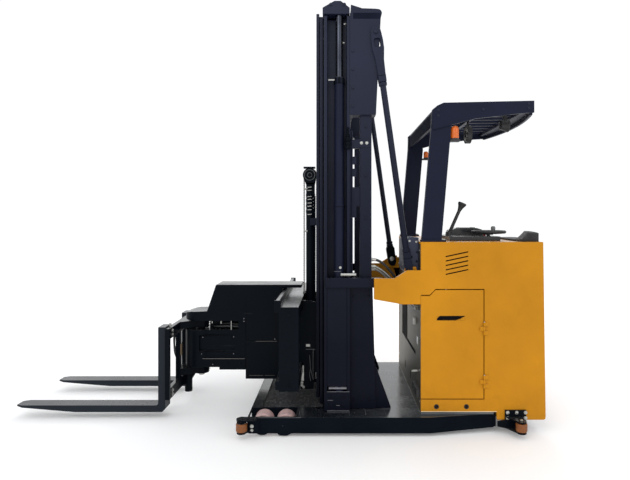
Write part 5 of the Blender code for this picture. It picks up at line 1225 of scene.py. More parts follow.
class TRUCK_OT_carriage(bpy.types.Operator):
    """Traverse frame with its rack and bolts, and the hose guards below it"""
    bl_idname = "truck.carriage"
    bl_label = "Traverse frame"

    def execute(self, context):
        dress("carriage", "black", 0.0028)
        heads = []
        for y in (-0.60, -0.45, -0.30, -0.15, 0.15, 0.30, 0.45, 0.60):
            heads.append(((d(-0.385), y, 0.830), (-1, 0, 0)))
            heads.append(((d(-0.385), y, 0.390), (-1, 0, 0)))
        bolts("rail_screws", "carriage", heads, 0.0075, 0.005, 16, 1.1)
        posts = []
        for sign in BOTH:
            posts += outward(sign, 0.685, ((-0.317, z) for z in (0.340, 0.366, 0.824, 0.862)))
        bolts("post_bolts", "carriage", posts, 0.0085, 0.006, key="black")
        # Hose guard under the roller plates, with its clip bar, cables and screws
        guards, clips, cables, heads = [], [], [], []
        for sign in BOTH:
            guards.append(slab((-0.262, -0.163), side(sign, 0.262, 0.268), (0.190, 0.392)))
            clips.append(slab((-0.257, -0.238), side(sign, 0.267, 0.2745), (0.255, 0.372)))
            clips.append(slab((-0.222, -0.191), side(sign, 0.2715, 0.2785), (0.517, 0.536)))
            y = sign * 0.2745
            for route in (((-0.222, 0.496), (-0.180, 0.497), (-0.150, 0.495)),
                          ((-0.194, 0.452), (-0.1905, 0.400), (-0.188, 0.350), (-0.166, 0.262)),
                          ((-0.188, 0.350), (-0.194, 0.300), (-0.186, 0.255)),
                          ((-0.166, 0.500), (-0.168, 0.380), (-0.1665, 0.262))):
                cables.append(tube([Vector((d(x), y, z)) for x, z in route], 0.0022, 8))
            heads += outward(sign, 0.268, ((-0.252, 0.219), (-0.240, 0.206), (-0.252, 0.240)))
        finished("hose_guards", guards, "black", "carriage", 0.0015)
        finished("hose_guard_clips", clips, "zinc", "carriage", 0.0010)
        finished("guard_cables", cables, "grey", "carriage")
        bolts("hose_guard_screws", "carriage", heads, 0.0065, 0.005)
        # Toothed rack along the front of the upper beam
        rows("traverse_rack", "carriage", [(d(-0.3865), -0.560, 0.812)], 94, (0, 0.012, 0),
             (0.005, 0.0062, 0.014), "dark_steel")
        return {"FINISHED"}


class TRUCK_OT_head(bpy.types.Operator):
    """Sliding head: box, hood and arm with their seams, screws and swivel drive"""
    bl_idname = "truck.head"
    bl_label = "Sliding head"

    def execute(self, context):
        ends = [slab((-0.430, -0.419), side(sign, 0.115, 0.120), (0.514, 0.530)) for sign in BOTH]
        dress("head_box", "black", 0.0035, ends, segments=3)
        dress("head_hood", "black", 0.006, segments=3)
        dress("head_arm", "black", 0.0026)
        screws, heads = [], []
        for sign in BOTH:
            screws += outward(sign, 0.118, ((x, z) for x in (-0.690, -0.566, -0.442)
                                            for z in (0.246, 0.492, 0.542, 0.728)))
            screws += outward(sign, 0.118, ((-0.450, 0.940), (-0.620, 0.940), (-0.790, 0.940),
                                            (-0.925, 0.940), (-0.740, 0.780), (-0.860, 0.780),
                                            (-0.960, 0.800)))
            heads += outward(sign, 0.100, ((x, z) for x in (-1.066, -0.820) for z in (0.458, 0.552)))
            heads += outward(sign, 0.118, ((x, 0.344) for x in (-1.100, -0.960, -0.850, -0.750)))
        bolts("head_panel_screws", "head", screws, 0.0055, 0.003, 20, 1.3, "black")
        bolts("head_arm_bolts", "head", heads, 0.0085, 0.006, key="black")
        # Panel seams with painted highlights along their edges, and small fittings
        seams, edges, dots = [], [], []
        for sign in BOTH:
            out = side(sign, 0.1175, 0.1184)
            seams.append(slab((-0.7048, -0.7008), out, (0.232, 0.960)))
            seams.append(slab((-0.4728, -0.4700), out, (0.524, 0.764)))
            lit = side(sign, 0.1175, 0.1190)
            edges.append(slab((-0.630, -0.461), lit, (0.5192, 0.5212)))
            edges.append(slab((-0.684, -0.477), lit, (0.2480, 0.2500)))
            edges.append(slab((-1.100, -0.719), lit, (0.3805, 0.3838)))
            dots += outward(sign, 0.118, ((-0.7234, 0.700), (-0.7234, 0.679), (-1.050, 0.552),
                                          (-0.806, 0.556), (-1.060, 0.420), (-0.806, 0.422),
                                          (-0.478, 0.538), (-0.970, 0.338)))
        finished("head_seams", seams, "void", "head")
        finished("head_seam_highlights", edges, "dark_steel", "head")
        bolts("head_small_bolts", "head", dots, 0.0034, 0.003, 16, 1.3, "dull")
        pipe = merged(bar((d(-0.8276), -0.101, 0.6085), (d(-0.8276), -0.101, 0.6790), 0.0042, 12),
                      bar((d(-0.910), -0.092, 0.6560), (d(-0.910), -0.092, 0.6790), 0.0060, 12),
                      bar((d(-0.982), -0.092, 0.6600), (d(-0.982), -0.092, 0.6790), 0.0060, 12))
        finished("nose_fittings", pipe, "zinc", "head")
        # Swivel drive in the gap below the nose: a sprocket, the motor and its hoses
        z = 0.644
        far = (d(-0.800), 0, z)
        teeth = []
        for step in range(36):
            angle = math.tau * step / 36
            reach = 0.036 if step % 2 else 0.041
            teeth.append((far[0] + reach * math.cos(angle), reach * math.sin(angle)))
        sprocket = merged(prism("Z", teeth, z - 0.006, z + 0.006),
                          bar((far[0], 0, 0.609), (far[0], 0, 0.679), 0.016, 24))
        finished("swivel_sprocket", sprocket, "dark_steel", "head")
        motor = merged(bar((d(-0.890), 0.055, 0.6085), (d(-0.890), 0.055, 0.668), 0.034, 36),
                       slab((-0.935, -0.845), (0.020, 0.090), (0.6085, 0.622)))
        finished("swivel_motor", motor, "black", "head", 0.002)
        hoses = [((d(-0.775), -0.060, 0.640), (d(-0.850), -0.062, 0.652), (d(-0.930), -0.040, 0.648),
                  (d(-0.900), 0.020, 0.650)),
                 ((d(-0.775), -0.080, 0.630), (d(-0.860), -0.084, 0.634), (d(-0.960), -0.070, 0.630),
                  (d(-0.985), -0.020, 0.634), (d(-0.925), 0.030, 0.640))]
        for number, route in enumerate(hoses, 1):
            finished(f"swivel_hose_{number}", tube(smooth_route(route, 8), 0.0065), "hose", "head")
        nut = merged(lathe([(0, 0), (0.024, 0), (0.024, 0.010), (0.021, 0.013), (0, 0.013)],
                           (d(-1.090), 0, 0.2365), (0, 0, -1), 6),
                     lathe([(0, 0), (0.029, 0), (0.029, 0.003), (0, 0.003)], (d(-1.090), 0, 0.2372),
                           (0, 0, -1), 32))
        finished("pivot_nut", nut, "zinc", "head")
        return {"FINISHED"}


class TRUCK_OT_forks(bpy.types.Operator):
    """Swivelling fork carrier and its two forks with scuffed paint"""
    bl_idname = "truck.forks"
    bl_label = "Fork carrier and forks"

    def execute(self, context):
        dress("fork_carrier", "black", 0.003)
        for name in ("left", "right"):
            dress(f"fork_{name}", "fork", 0.003, segments=3)
        back = d(-1.2345)
        heads = [((back, sign * 0.300, z), (1, 0, 0)) for sign in BOTH
                 for z in (0.165, 0.195, 0.617, 0.647)]
        bolts("fork_bolts", "fork_carrier", heads, 0.010, 0.008)
        lock = merged(bar((d(-1.252), -0.300, 0.672), (d(-1.252), -0.300, 0.700), 0.009, 20),
                      bar((d(-1.252), 0.300, 0.672), (d(-1.252), 0.300, 0.700), 0.009, 20))
        finished("fork_lock_pins", lock, "zinc", "fork_carrier", 0.0015)
        # Hoses and an accumulator behind the frame, fittings on top
        runs = (((d(-1.262), -0.045, 0.650), (d(-1.290), -0.060, 0.560), (d(-1.292), -0.060, 0.430),
                 (d(-1.262), -0.045, 0.330)),
                ((d(-1.262), -0.080, 0.655), (d(-1.284), -0.088, 0.600), (d(-1.286), -0.088, 0.480),
                 (d(-1.262), -0.080, 0.400)))
        drum = lathe([(0.002, 0.400), (0.012, 0.403), (0.0155, 0.410), (0.0155, 0.488), (0.012, 0.494),
                      (0.002, 0.496)],
                     (d(-1.236), -0.082, 0), (0, 0, 1), 24)
        finished("carrier_accumulator", drum, "brass", "fork_carrier")
        for number, route in enumerate(runs, 1):
            finished(f"carrier_hose_{number}", tube(smooth_route(route, 10), 0.0075), "hose",
                     "fork_carrier")
        nipples = [((d(-1.090) + 0.0615, 0.0, z), (1, 0, 0)) for z in (0.645, 0.272)]
        bolts("knuckle_nipples", "fork_carrier", nipples, 0.0035, 0.008, 12, 1.6)
        return {"FINISHED"}


class TRUCK_OT_body(bpy.types.Operator):
    """Painted body: sides with louvres, top, front wall and pump cover with their screws"""
    bl_idname = "truck.body"
    bl_label = "Body"

    def execute(self, context):
        for name, sign in SIDES:
            dress(f"body_side_{name}", "orange", 0.0042, segments=3)
        dress("body_shell", "orange", 0.004)
        dress("body_front", "steel", 0.0014)
        far_part = slab((0.450, 0.620), (-0.190, 0.600), (1.050, 1.400))
        dress("pump_cover", "cover", 0.006, [far_part], segments=3)
        heads = []
        for sign in BOTH:
            heads += outward(sign, 0.6353, ((1.200, 0.148), (1.262, 0.148), (1.324, 0.148),
                                            (1.200, 0.111), (1.324, 0.111)))
            heads.append(((d(1.268), sign * 0.715, 0.125), (0, 0, 1)))
        bolts("rear_bracket_bolts", "chassis", heads)
        plugs = []
        for sign in BOTH:
            for x in (0.707, 0.916):
                ring = lathe([(0.0142, -0.010), (0.0152, -0.010), (0.0152, 0.0), (0.0172, 0.0012),
                              (0.0142, 0.0014)], (d(x), sign * 0.625, 0.185), (0, sign, 0), 28)
                plugs.append(ring)
        finished("side_hole_grommets", plugs, "plastic")
        back = []
        for x in (0.707, 0.916):
            for sign in BOTH:
                back.append(bar((d(x), sign * 0.600, 0.185), (d(x), sign * 0.6045, 0.185), 0.020, 24))
        finished("side_hole_backs", back, "plastic")
        screws = [((d(0.500), y, 1.150), (-1, 0, 0)) for y in (-0.40, -0.20)]
        # Painted highlight: a pale cream line along the lower edge of each body side
        for name, sign in SIDES:
            painted_highlight = slab((0.600, 1.126), side(sign, 0.6252, 0.6262), (0.1492, 0.1535))
            finished(f"body_edge_painted_highlight_{name}", painted_highlight, "painted_highlight")
        for x, z in ((0.533, 1.336), (0.582, 1.330)):
            screws.append(((d(x), -0.5306, z), (0, -1, 0)))
        bolts("pump_cover_screws", "chassis", screws, 0.0055, 0.004)
        # Painted shade: thin dark discs stand for the holes in the pump cover
        holes = [((d(x), -0.5305, z), (0, -1, 0))
                 for x, z in ((0.587, 1.256), (0.584, 1.190), (0.548, 1.222))]
        bolts("pump_cover_hole_shade", "chassis", holes, 0.0075, 0.0006, 20, 1.0, "void")
        # Painted shade: dark sheets behind the louvre's slots
        dark = []
        for row in range(5):
            drop = 0.031 * row
            slat = [(d(0.768), 1.219 - drop), (d(0.933), 1.254 - drop), (d(0.933), 1.276 - drop),
                    (d(0.768), 1.241 - drop)]
            dark.append(prism("Y", slat, -0.6178, -0.6168))
        finished("louvre_painted_shade", dark, "void")
        front = []
        for sign in BOTH:
            for z in (0.200, 0.420, 0.640, 0.840, 1.060, 1.270):
                front.append(((d(FRONT_WALL), sign * 0.560, z), (-1, 0, 0)))
        bolts("front_wall_screws", "chassis", front, 0.0055, 0.003, 20, 1.3)
        # Sunk field of the front wall: infill below, painted shadow on its far half and lower edge,
        # fittings beside it
        wall = d(FRONT_WALL)
        finished("front_field_infill", block((wall + 0.0004, wall + 0.0046), (-0.3796, 0.3796),
                                             (0.3004, 0.480)),
                 "steel", "chassis", 0.0008)
        shadow = merged(block((wall + 0.0028, wall + 0.0044), (0.090, 0.3796), (0.4805, 0.7796)),
                        block((wall + 0.0020, wall + 0.0044), (-0.3796, 0.0895), (0.4805, 0.500)))
        finished("front_field_painted_shadow", shadow, "void")
        # Painted shade: two dark patches stand for slots in the wall
        slots = [block((wall - 0.0008, wall - 0.0001), (y - 0.012, y + 0.012), (0.229, 0.288))
                 for y in (0.179, -0.120)]
        finished("front_wall_slot_shade", slots, "void")
        box = merged(block((wall - 0.026, wall - 0.0003), (-0.590, -0.370), (0.236, 0.292)),
                     block((wall - 0.032, wall - 0.026), (-0.500, -0.440), (0.250, 0.276)))
        finished("front_valve_box", box, "plastic", "chassis", 0.003)
        plug = merged(bar((wall - 0.0003, -0.474, 0.390), (wall - 0.030, -0.474, 0.390), 0.012, 6),
                      bar((wall - 0.0003, -0.474, 0.390), (wall - 0.044, -0.474, 0.390), 0.008, 20),
                      block((wall - 0.018, wall - 0.0003), (-0.398, -0.368), (0.712, 0.760)))
        finished("front_wall_fittings", plug, "zinc", "chassis", 0.0012)
        finished("front_blank_plate", block((wall - 0.0014, wall - 0.0002), (-0.500, -0.446),
                                            (0.585, 0.640)), "plate",
                 "chassis", 0.0004)
        finished("front_wall_weld", block((wall - 0.0016, wall - 0.0002), (-0.600, 0.600),
                                          (0.1324, 0.1372)), "zinc")
        latches = []
        for sign in BOTH:
            y = sign * 0.470
            latches.append(slab((0.5795, 0.5835), (y - 0.010, y + 0.010), (0.834, 0.886)))
            latches.append(bar((d(0.560), y, 0.872), (d(0.583), y, 0.872), 0.006, 16))
        finished("front_latches", latches, "zinc", "chassis", 0.001)
        return {"FINISHED"}


class TRUCK_OT_doors(bpy.types.Operator):
    """Battery doors with a handle plate and its cup, an inner frame and hinge caps"""
    bl_idname = "truck.doors"
    bl_label = "Battery doors"

    def execute(self, context):
        for name, sign in SIDES:
            node = f"battery_door_{name}"
            dress(node, "orange", 0.0022)
            body = body_of(node)
            y = BODY_SIDE
            # The recess is closed by a flush plate with a wedge-shaped grip opening
            flush = [(d(0.7154), 0.7874), (d(0.9056), 0.7874), (d(0.8996), 0.8116), (d(0.7094), 0.8116)]
            wedge = [(d(0.7165), 0.7888), (d(0.8380), 0.7888), (d(0.8720), 0.7985), (d(0.8985), 0.8108),
                     (d(0.7315), 0.8108), (d(0.7185), 0.7985)]
            grip = ("Y", wedge, *side(sign, y - 0.02, y + 0.01))
            ring = carved(prism("Y", flush, *side(sign, y - 0.0042, y - 0.0001)), prism(*grip))
            finished(f"door_handle_plate_{name}", ring, "orange", body)
            finished(f"door_handle_cup_{name}", prism("Y", flush, *side(sign, y - 0.0118, y - 0.0044)),
                     "void", body)
            rim = [(d(0.7083), 0.7868), (d(0.8400), 0.7868), (d(0.8760), 0.7985), (d(0.9070), 0.8175),
                   (d(0.7300), 0.8175), (d(0.7135), 0.8020)]
            bezel = carved(prism("Y", rim, *side(sign, y + 0.0002, y + 0.0012)), prism(*grip))
            finished(f"door_handle_rim_{name}", bezel, "void", body)
            bars = [slab(x, side(sign, y - 0.032, y - 0.0202), z) for x, z in (
                ((0.640, 0.660), (0.270, 0.940)), ((0.980, 1.000), (0.270, 0.940)),
                ((0.660, 0.980), (0.270, 0.290)), ((0.660, 0.980), (0.700, 0.720)))]
            finished(f"door_frame_{name}", bars, "orange", body, 0.0012)
            pins = []
            for z in (0.360, 0.730):
                hx, hy = d(1.036 + 0.003), sign * (0.625 + 0.0075 + 0.001)
                pins.append(lathe([(0, 0), (0.0058, 0), (0.0058, 0.003), (0.004, 0.0045), (0, 0.0045)],
                                  (hx, hy, z + 0.0455), (0, 0, 1), 20))
            finished(f"hinge_pin_caps_{name}", pins, "zinc")
        return {"FINISHED"}


class TRUCK_OT_battery(bpy.types.Operator):
    """Traction battery: tray, cells, caps, links, plug and cable"""
    bl_idname = "truck.battery"
    bl_label = "Battery"

    def execute(self, context):
        low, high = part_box("battery")
        tray = block((low.x, high.x), (low.y, high.y), (low.z, 0.690))
        made = finished("battery_tray", tray, "cover", "chassis", 0.003)
        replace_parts(made, "battery")
        cells, caps = [], []
        across, deep = 12, 3
        step_y = (high.y - low.y - 0.030) / across
        step_x = (high.x - low.x - 0.030) / deep
        links = []
        for i in range(deep):
            for j in range(across):
                x = low.x + 0.015 + step_x * (i + 0.5)
                y = low.y + 0.015 + step_y * (j + 0.5)
                cells.append(block((x - step_x / 2 + 0.0015, x + step_x / 2 - 0.0015),
                                   (y - step_y / 2 + 0.0015, y + step_y / 2 - 0.0015), (0.688, 0.770)))
                caps.append(((x, y, 0.770), (0, 0, 1)))
                if j < across - 1:
                    links.append(block((x + 0.030, x + 0.050), (y + 0.020, y + step_y - 0.020),
                                       (0.7695, 0.778)))
        finished("battery_cells", cells, "plastic", "chassis", 0.002, 1)
        bolts("battery_caps", "chassis", caps, 0.014, 0.010, 16, 1.2, "grey")
        finished("battery_links", links, "plastic")
        cable = smooth_route([(high.x - 0.05, -0.30, 0.775), (high.x - 0.05, -0.30, 0.790),
                              (high.x - 0.09, -0.22, 0.790), (high.x - 0.16, -0.10, 0.788),
                              (high.x - 0.20, 0.02, 0.789)], 8)
        finished("battery_cable", tube(cable, 0.0085), "cable")
        plug = block((high.x - 0.235, high.x - 0.185), (0.010, 0.110), (0.7702, 0.7985))
        finished("battery_plug", plug, "grey", "chassis", 0.004)
        return {"FINISHED"}


class TRUCK_OT_stays(bpy.types.Operator):
    """Stay rods with their pins, caps, lock nuts and a wide clevis"""
    bl_idname = "truck.stays"
    bl_label = "Stay rods"

    def execute(self, context):
        caps = []
        for name, sign in SIDES:
            dress(f"stay_{name}", "navy", 0.003)
            caps += outward(sign, 0.5955, STAY_PINS)
            high, low = (Vector((d(x), sign * 0.565, z)) for x, z in STAY_PINS)
            way = (low - high).normalized()
            nuts = []
            for end, turn, reach in ((high, way, 0.357), (low, -way, 0.137)):
                start = end + turn * reach
                nuts.append(lathe([(0.0215, 0), (0.030, 0), (0.032, 0.003), (0.032, 0.019),
                                   (0.030, 0.022), (0.0215, 0.022)], start, turn, 6))
            finished(f"stay_nuts_{name}", nuts, "navy")
        bolts("stay_pin_caps", "chassis", caps, 0.013, 0.006, 24, 1.35, "navy")
        heads = [((d(x), sign * 0.5345, z), (0, -sign, 0)) for sign in BOTH for x, z in STAY_PINS]
        bolts("stay_pin_heads", "chassis", heads, 0.0185, 0.006, 24, 1.1)
        # Wide clevis cheeks at the lower end of the right stay
        high, low = (Vector((d(x), 0, z)) for x, z in STAY_PINS)
        way = (high - low).normalized()
        across = Vector((way.z, 0, -way.x))
        shape = [(0.118, -0.026), (0.118, 0.026), (0.095, 0.038), (-0.030, 0.036), (-0.052, 0.026),
                 (-0.064, 0.010), (-0.064, -0.010), (-0.052, -0.026), (-0.030, -0.036), (0.095, -0.038)]
        outline = [low + way * u + across * v for u, v in shape]
        outline = [(point.x, point.z) for point in outline]
        cheeks = [prism("Y", outline, *span) for span in ((0.5352, 0.5542), (0.5758, 0.5948))]
        finished("stay_clevis_right", cheeks, "black", "chassis", 0.0022)
        return {"FINISHED"}


class TRUCK_OT_guard(bpy.types.Operator):
    """Overhead guard with its feet, roof bars, mesh sheet and bolts"""
    bl_idname = "truck.guard"
    bl_label = "Overhead guard"

    def execute(self, context):
        for name, sign in SIDES:
            dress(f"guard_side_{name}", "guard", 0.0018)
        dress("guard_roof", "guard", 0.0022)
        finished("guard_front_mesh", slab((0.6884, 0.6897), (-0.556, 0.556), (2.151, 2.247)), "matte")
        # Bowed hoop behind the rear bar, with the sheet that closes it
        def bow(reach, steps=24):
            """Points of an edge that bulges to the rear."""
            half = 0.584
            return [(d(reach + 0.066 * (1 - (2 * k / steps - 1) ** 2)), half * (2 * k / steps - 1))
                    for k in range(steps + 1)]
        hoop = prism("Z", bow(1.392) + bow(1.374)[::-1], 2.226, 2.262)
        sheet = prism("Z", bow(1.378) + [(d(1.342), 0.584), (d(1.342), -0.584)], 2.2560, 2.2612)
        finished("guard_rear_hoop", merged(hoop, sheet), "guard", "chassis", 0.002)
        heads, feet = [], []
        for sign in BOTH:
            heads += outward(sign, 0.615, ((0.722, 2.215), (0.722, 2.255), (1.352, 2.268),
                                           (1.352, 2.298), (1.035, 2.258)))
            for y in (0.570, 0.600):
                feet.append(((d(0.762), sign * y, 1.3473), (0, 0, 1)))
        bolts("guard_bolts", "chassis", heads, 0.0085, 0.005, 6, 1.3, "navy")
        bolts("guard_foot_bolts", "chassis", feet, 0.008, 0.006)
        return {"FINISHED"}


class TRUCK_OT_lamps(bpy.types.Operator):
    """Work lamp, two amber indicators and the guard's fan"""
    bl_idname = "truck.lamps"
    bl_label = "Lamps and fan"

    def execute(self, context):
        dress("work_lamp", "plastic", 0.0012)
        centre = Vector((d(1.250), -0.420, 2.180))
        glass = lathe([(0, 0.0202), (0.039, 0.0202), (0.039, 0.0215), (0.030, 0.0240), (0, 0.0265)],
                      centre, (1, 0, 0), 48)
        finished("work_lamp_glass", glass, "clear")
        rows("work_lamp_fins", "chassis", [(centre.x - 0.030, centre.y, centre.z - 0.028)], 8,
             (0, 0, 0.008), (0.018, 0.050, 0.0022), "plastic")
        for name, sign, radius, height in (("left", -1, 0.028, 0.100), ("right", 1, 0.022, 0.070)):
            node = f"indicator_{name}"
            low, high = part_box(node)
            x, y, z = d(0.815 + 0.030), sign * 0.580, 2.050
            lens = lathe([(0, 0.010), (radius * 0.93, 0.010), (radius, 0.014), (radius, height * 0.70),
                          (radius * 0.97, height * 0.78), (radius * 0.86, height * 0.88),
                          (radius * 0.62, height * 0.96), (radius * 0.3, height * 0.995), (0, height)],
                          (x, y, z), (0, 0, 1), 40)
            finished(f"{node}_lens", lens, "amber")
            base = merged(lathe([(0, 0.0011), (radius * 1.04, 0.0011), (radius * 1.04, 0.009),
                                 (radius * 0.96, 0.011), (0, 0.011)], (x, y, z), (0, 0, 1), 40),
                          block((low.x, high.x), (low.y, high.y), (z - 0.012, z + 0.001)))
            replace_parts(finished(f"{node}_base", base, "plastic", "chassis", 0.0008), node)
        dress("guard_fan", "plastic", 0.0)
        fan = Vector((d(1.035), -0.200, 2.150))
        wires = []

        def spot(x, reach, turn):
            """A point of the grille from its face, its reach and its part of a turn."""
            angle = math.tau * turn
            return fan.x + x, fan.y + reach * math.cos(angle), fan.z + reach * math.sin(angle)

        faces = (-0.0165, 0.0165)
        for ring in (0.022, 0.036, 0.050):
            wires += [tube([spot(x, ring, k / 40) for k in range(41)], 0.0011, 6) for x in faces]
        for k in range(24):
            wires += [bar(spot(x, 0.020, k / 24), spot(x, 0.064, k / 24), 0.0011, 6) for x in faces]
        finished("fan_guard_wires", wires, "zinc")
        blades = []
        for k in range(5):
            angle = 360 * k / 5
            blade = block((fan.x - 0.0012, fan.x + 0.0012), (fan.y - 0.014, fan.y + 0.016),
                          (fan.z + 0.022, fan.z + 0.057))
            blade = turned_by(blade, fan + Vector((0, 0, 0.04)), (0, 0, 1), 32)
            blades.append(turned_by(blade, fan, (1, 0, 0), angle))
        finished("fan_blades", blades, "grey", "chassis", 0.0005)
        return {"FINISHED"}


class TRUCK_OT_bay(bpy.types.Operator):
    """Operator's bay: ribbed mat, pedal, and the console with its controls"""
    bl_idname = "truck.bay"
    bl_label = "Operator's bay"

    def execute(self, context):
        dress("operator_floor", "mat", 0.002)
        rows("floor_mat_ribs", "chassis", [(d(1.245), 0.282, 0.3130)], 18, (0.0105, 0, 0),
             (0.0045, 0.600, 0.0022), "mat")
        rows("pedal_ribs", "chassis", [(d(1.135), 0.130, 0.3375)], 8, (0.0115, 0, -0.0021),
             (0.0050, 0.120, 0.0030), "mat")
        top = BODY_TOP
        stem = slab((0.840, 0.995), (-0.330, -0.270), (1.4005, 1.660))
        dress("console", "gloss", 0.003, [stem], segments=3)
        # Sleeve and flared grip of the lever
        foot, tip = Vector((d(0.868), -0.300, 1.386)), Vector((d(0.952), -0.300, 1.575))
        way = (tip - foot).normalized()
        sleeve = lathe([(0.0, 0.0), (0.017, 0.0), (0.017, 0.012), (0.0125, 0.016), (0.0125, 0.180),
                        (0.014, 0.190), (0.0205, 0.214), (0.031, 0.236), (0.0325, 0.244), (0.030, 0.249),
                        (0.0, 0.250)], foot, way, 28)
        finished("lever_grip", sleeve, "plastic")
        display = slab((0.985, 1.085), (-0.120, -0.020), (top + 0.0878, top + 0.0905))
        finished("console_display_frame", display, "plastic", "chassis", 0.0012)
        finished("console_display", slab((0.992, 1.078), (-0.112, -0.028), (top + 0.0903, top + 0.0912)),
                 "screen")
        buttons = [((d(1.105), y, top + 0.0878), (0, 0, 1))
                   for y in (-0.115, -0.090, -0.065, -0.040, -0.015)]
        bolts("console_buttons", "chassis", buttons, 0.0075, 0.004, 20, 1.3, "grey")
        stop = lathe([(0, 0), (0.012, 0), (0.012, 0.014), (0.020, 0.017), (0.021, 0.024), (0.018, 0.029),
                      (0, 0.031)],
                     (d(1.185), -0.120, top + 0.0318), (0, 0, 1), 40)
        finished("stop_button", stop, "red")
        key = merged(bar((d(1.185), -0.060, top + 0.0318), (d(1.185), -0.060, top + 0.037), 0.013, 32),
                     slab((1.179, 1.191), (-0.0612, -0.0588), (top + 0.036, top + 0.060)))
        finished("key_switch", key, "zinc")
        return {"FINISHED"}


class TRUCK_OT_steering(bpy.types.Operator):
    """Steering wheel with a round rim, spokes, hub cap and knob"""
    bl_idname = "truck.steering"
    bl_label = "Steering wheel"

    def execute(self, context):
        centre = Vector((d(1.165), -0.300, 1.395))
        ring = 0.118
        rim = [(ring + 0.0118 * math.cos(math.tau * k / 20), 0.0118 * math.sin(math.tau * k / 20))
               for k in range(20)]
        parts = [lathe(rim, centre, (0, 0, 1), 72),
                 lathe([(0.0127, -0.022), (0.034, -0.022), (0.037, -0.018), (0.036, 0.002),
                        (0.031, 0.009), (0.022, 0.014), (0.0127, 0.0142)], centre, (0, 0, 1), 48)]
        for step in range(3):
            angle = math.radians(90 + 120 * step)
            way = Vector((math.cos(angle), math.sin(angle), 0))
            parts.append(tube([centre + way * 0.026 + Vector((0, 0, -0.006)),
                               centre + way * 0.050 + Vector((0, 0, -0.009)),
                               centre + way * 0.090 + Vector((0, 0, -0.006)),
                               centre + way * (ring + 0.002)],
                              0.0085, 16))
        made = finished("steering_wheel_rim", parts, "plastic", "steering_wheel")
        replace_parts(made, "steering_wheel")
        knob_at = centre + Vector((0, -ring, 0))
        knob = lathe([(0, 0.008), (0.009, 0.008), (0.009, 0.014), (0.0150, 0.017), (0.0165, 0.028),
                      (0.0155, 0.038), (0.010, 0.0445), (0, 0.0450)], knob_at, (0, 0, 1), 36)
        finished("steering_knob", knob, "grey", "steering_wheel")
        return {"FINISHED"}


def puffed(node, seams):
    """A padded block with a crowned top and pulled-in sides, sewn across at parts of its width."""
    low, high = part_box(node)
    size = high - low
    bm = bmesh.new()
    bmesh.ops.create_cube(bm, size=1)
    bmesh.ops.transform(bm, matrix=Matrix.Translation((low + high) / 2) @ Matrix.Diagonal((*size, 1)),
                        verts=bm.verts)
    bmesh.ops.subdivide_edges(bm, edges=bm.edges, cuts=26, use_grid_fill=True)
    inset = 0.006
    for vert in bm.verts:
        part = Vector(((vert.co.x - low.x) / size.x, (vert.co.y - low.y) / size.y,
                       (vert.co.z - low.z) / size.z))
        bulge_x = math.sin(math.pi * part.y) ** 0.4 * math.sin(math.pi * min(1, part.z)) ** 0.5
        bulge_y = math.sin(math.pi * part.x) ** 0.5 * math.sin(math.pi * min(1, part.z)) ** 0.5
        crown = (math.sin(math.pi * part.x) * math.sin(math.pi * part.y)) ** 0.35
        centre = Vector((2 * part.x - 1, 2 * part.y - 1, 0))
        vert.co.x -= centre.x * inset * (1 - bulge_x) * abs(centre.x) ** 3
        vert.co.y -= centre.y * inset * (1 - bulge_y) * abs(centre.y) ** 3
        if part.z > 0.02:
            vert.co.z -= (1 - crown) * 0.016 * part.z ** 2
        # The near end stands up behind a sloped front; the rest of it is a thin cushion
        near = min(1, max(0, (-0.462 - vert.co.y) / 0.022))
        behind = min(1, max(0, (vert.co.x - low.x - 0.004) / 0.055))
        vert.co.z = low.z + (vert.co.z - low.z) * (0.24 + 0.76 * (near * behind))
        for line in seams:
            away = abs(part.y - line) * size.y
            if away < 0.012 and part.z > 0.3:
                vert.co.z -= 0.004 * (1 - away / 0.012) ** 2 * part.z
    return bm


class TRUCK_OT_rear_pad(bpy.types.Operator):
    """Padded rest with its two seams"""
    bl_idname = "truck.rear_pad"
    bl_label = "Padded rest"

    def execute(self, context):
        made = finished("padded_rest", puffed("rear_pad", (0.333, 0.667)), "vinyl", crisp=75)
        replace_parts(made, "rear_pad")
        return {"FINISHED"}


class TRUCK_OT_drive(bpy.types.Operator):
    """Steered drive with its motor, drive wheel and the swivelling caster"""
    bl_idname = "truck.drive"
    bl_label = "Drive and caster"

    def execute(self, context):
        dress("drive_turret", "black", 0.0016)
        dress("caster_fork", "zinc", 0.0012)
        x, y = d(STEERED[0]), STEERED[1]
        fins = []
        for k in range(9):
            z = 0.380 + 0.026 * k
            fins.append(lathe([(0.0872, z), (0.0955, z + 0.001), (0.0955, z + 0.005),
                               (0.0872, z + 0.006)], (x, y, 0), (0, 0, 1), 56))
        finished("drive_motor_fins", fins, "black", "drive_turret")
        wheel_parts("drive_wheel", radius=0.125, half=0.040, bore=0.0187, dish=0.010)
        nuts = []
        for k in range(5):
            angle = math.tau * k / 5
            nuts.append(((x + 0.060 * math.cos(angle), y - 0.030, 0.125 + 0.060 * math.sin(angle)),
                         (0, -1, 0)))
        bolts("drive_wheel_nuts", "drive_wheel", nuts, 0.0085, 0.006)
        cap = [((x, y - 0.0362, 0.125), (0, -1, 0))]
        bolts("drive_axle_cap", "drive_turret", cap, 0.016, 0.005, 28, 0.5)
        wheel_parts("caster_wheel", radius=0.075, half=0.025, bore=0.0107, dish=0.003)
        ends = [((d(1.255), 0.300 + sign * 0.0392, 0.075), (0, sign, 0)) for sign in BOTH]
        bolts("caster_axle_nuts", "caster_fork", ends, 0.011, 0.007)
        return {"FINISHED"}


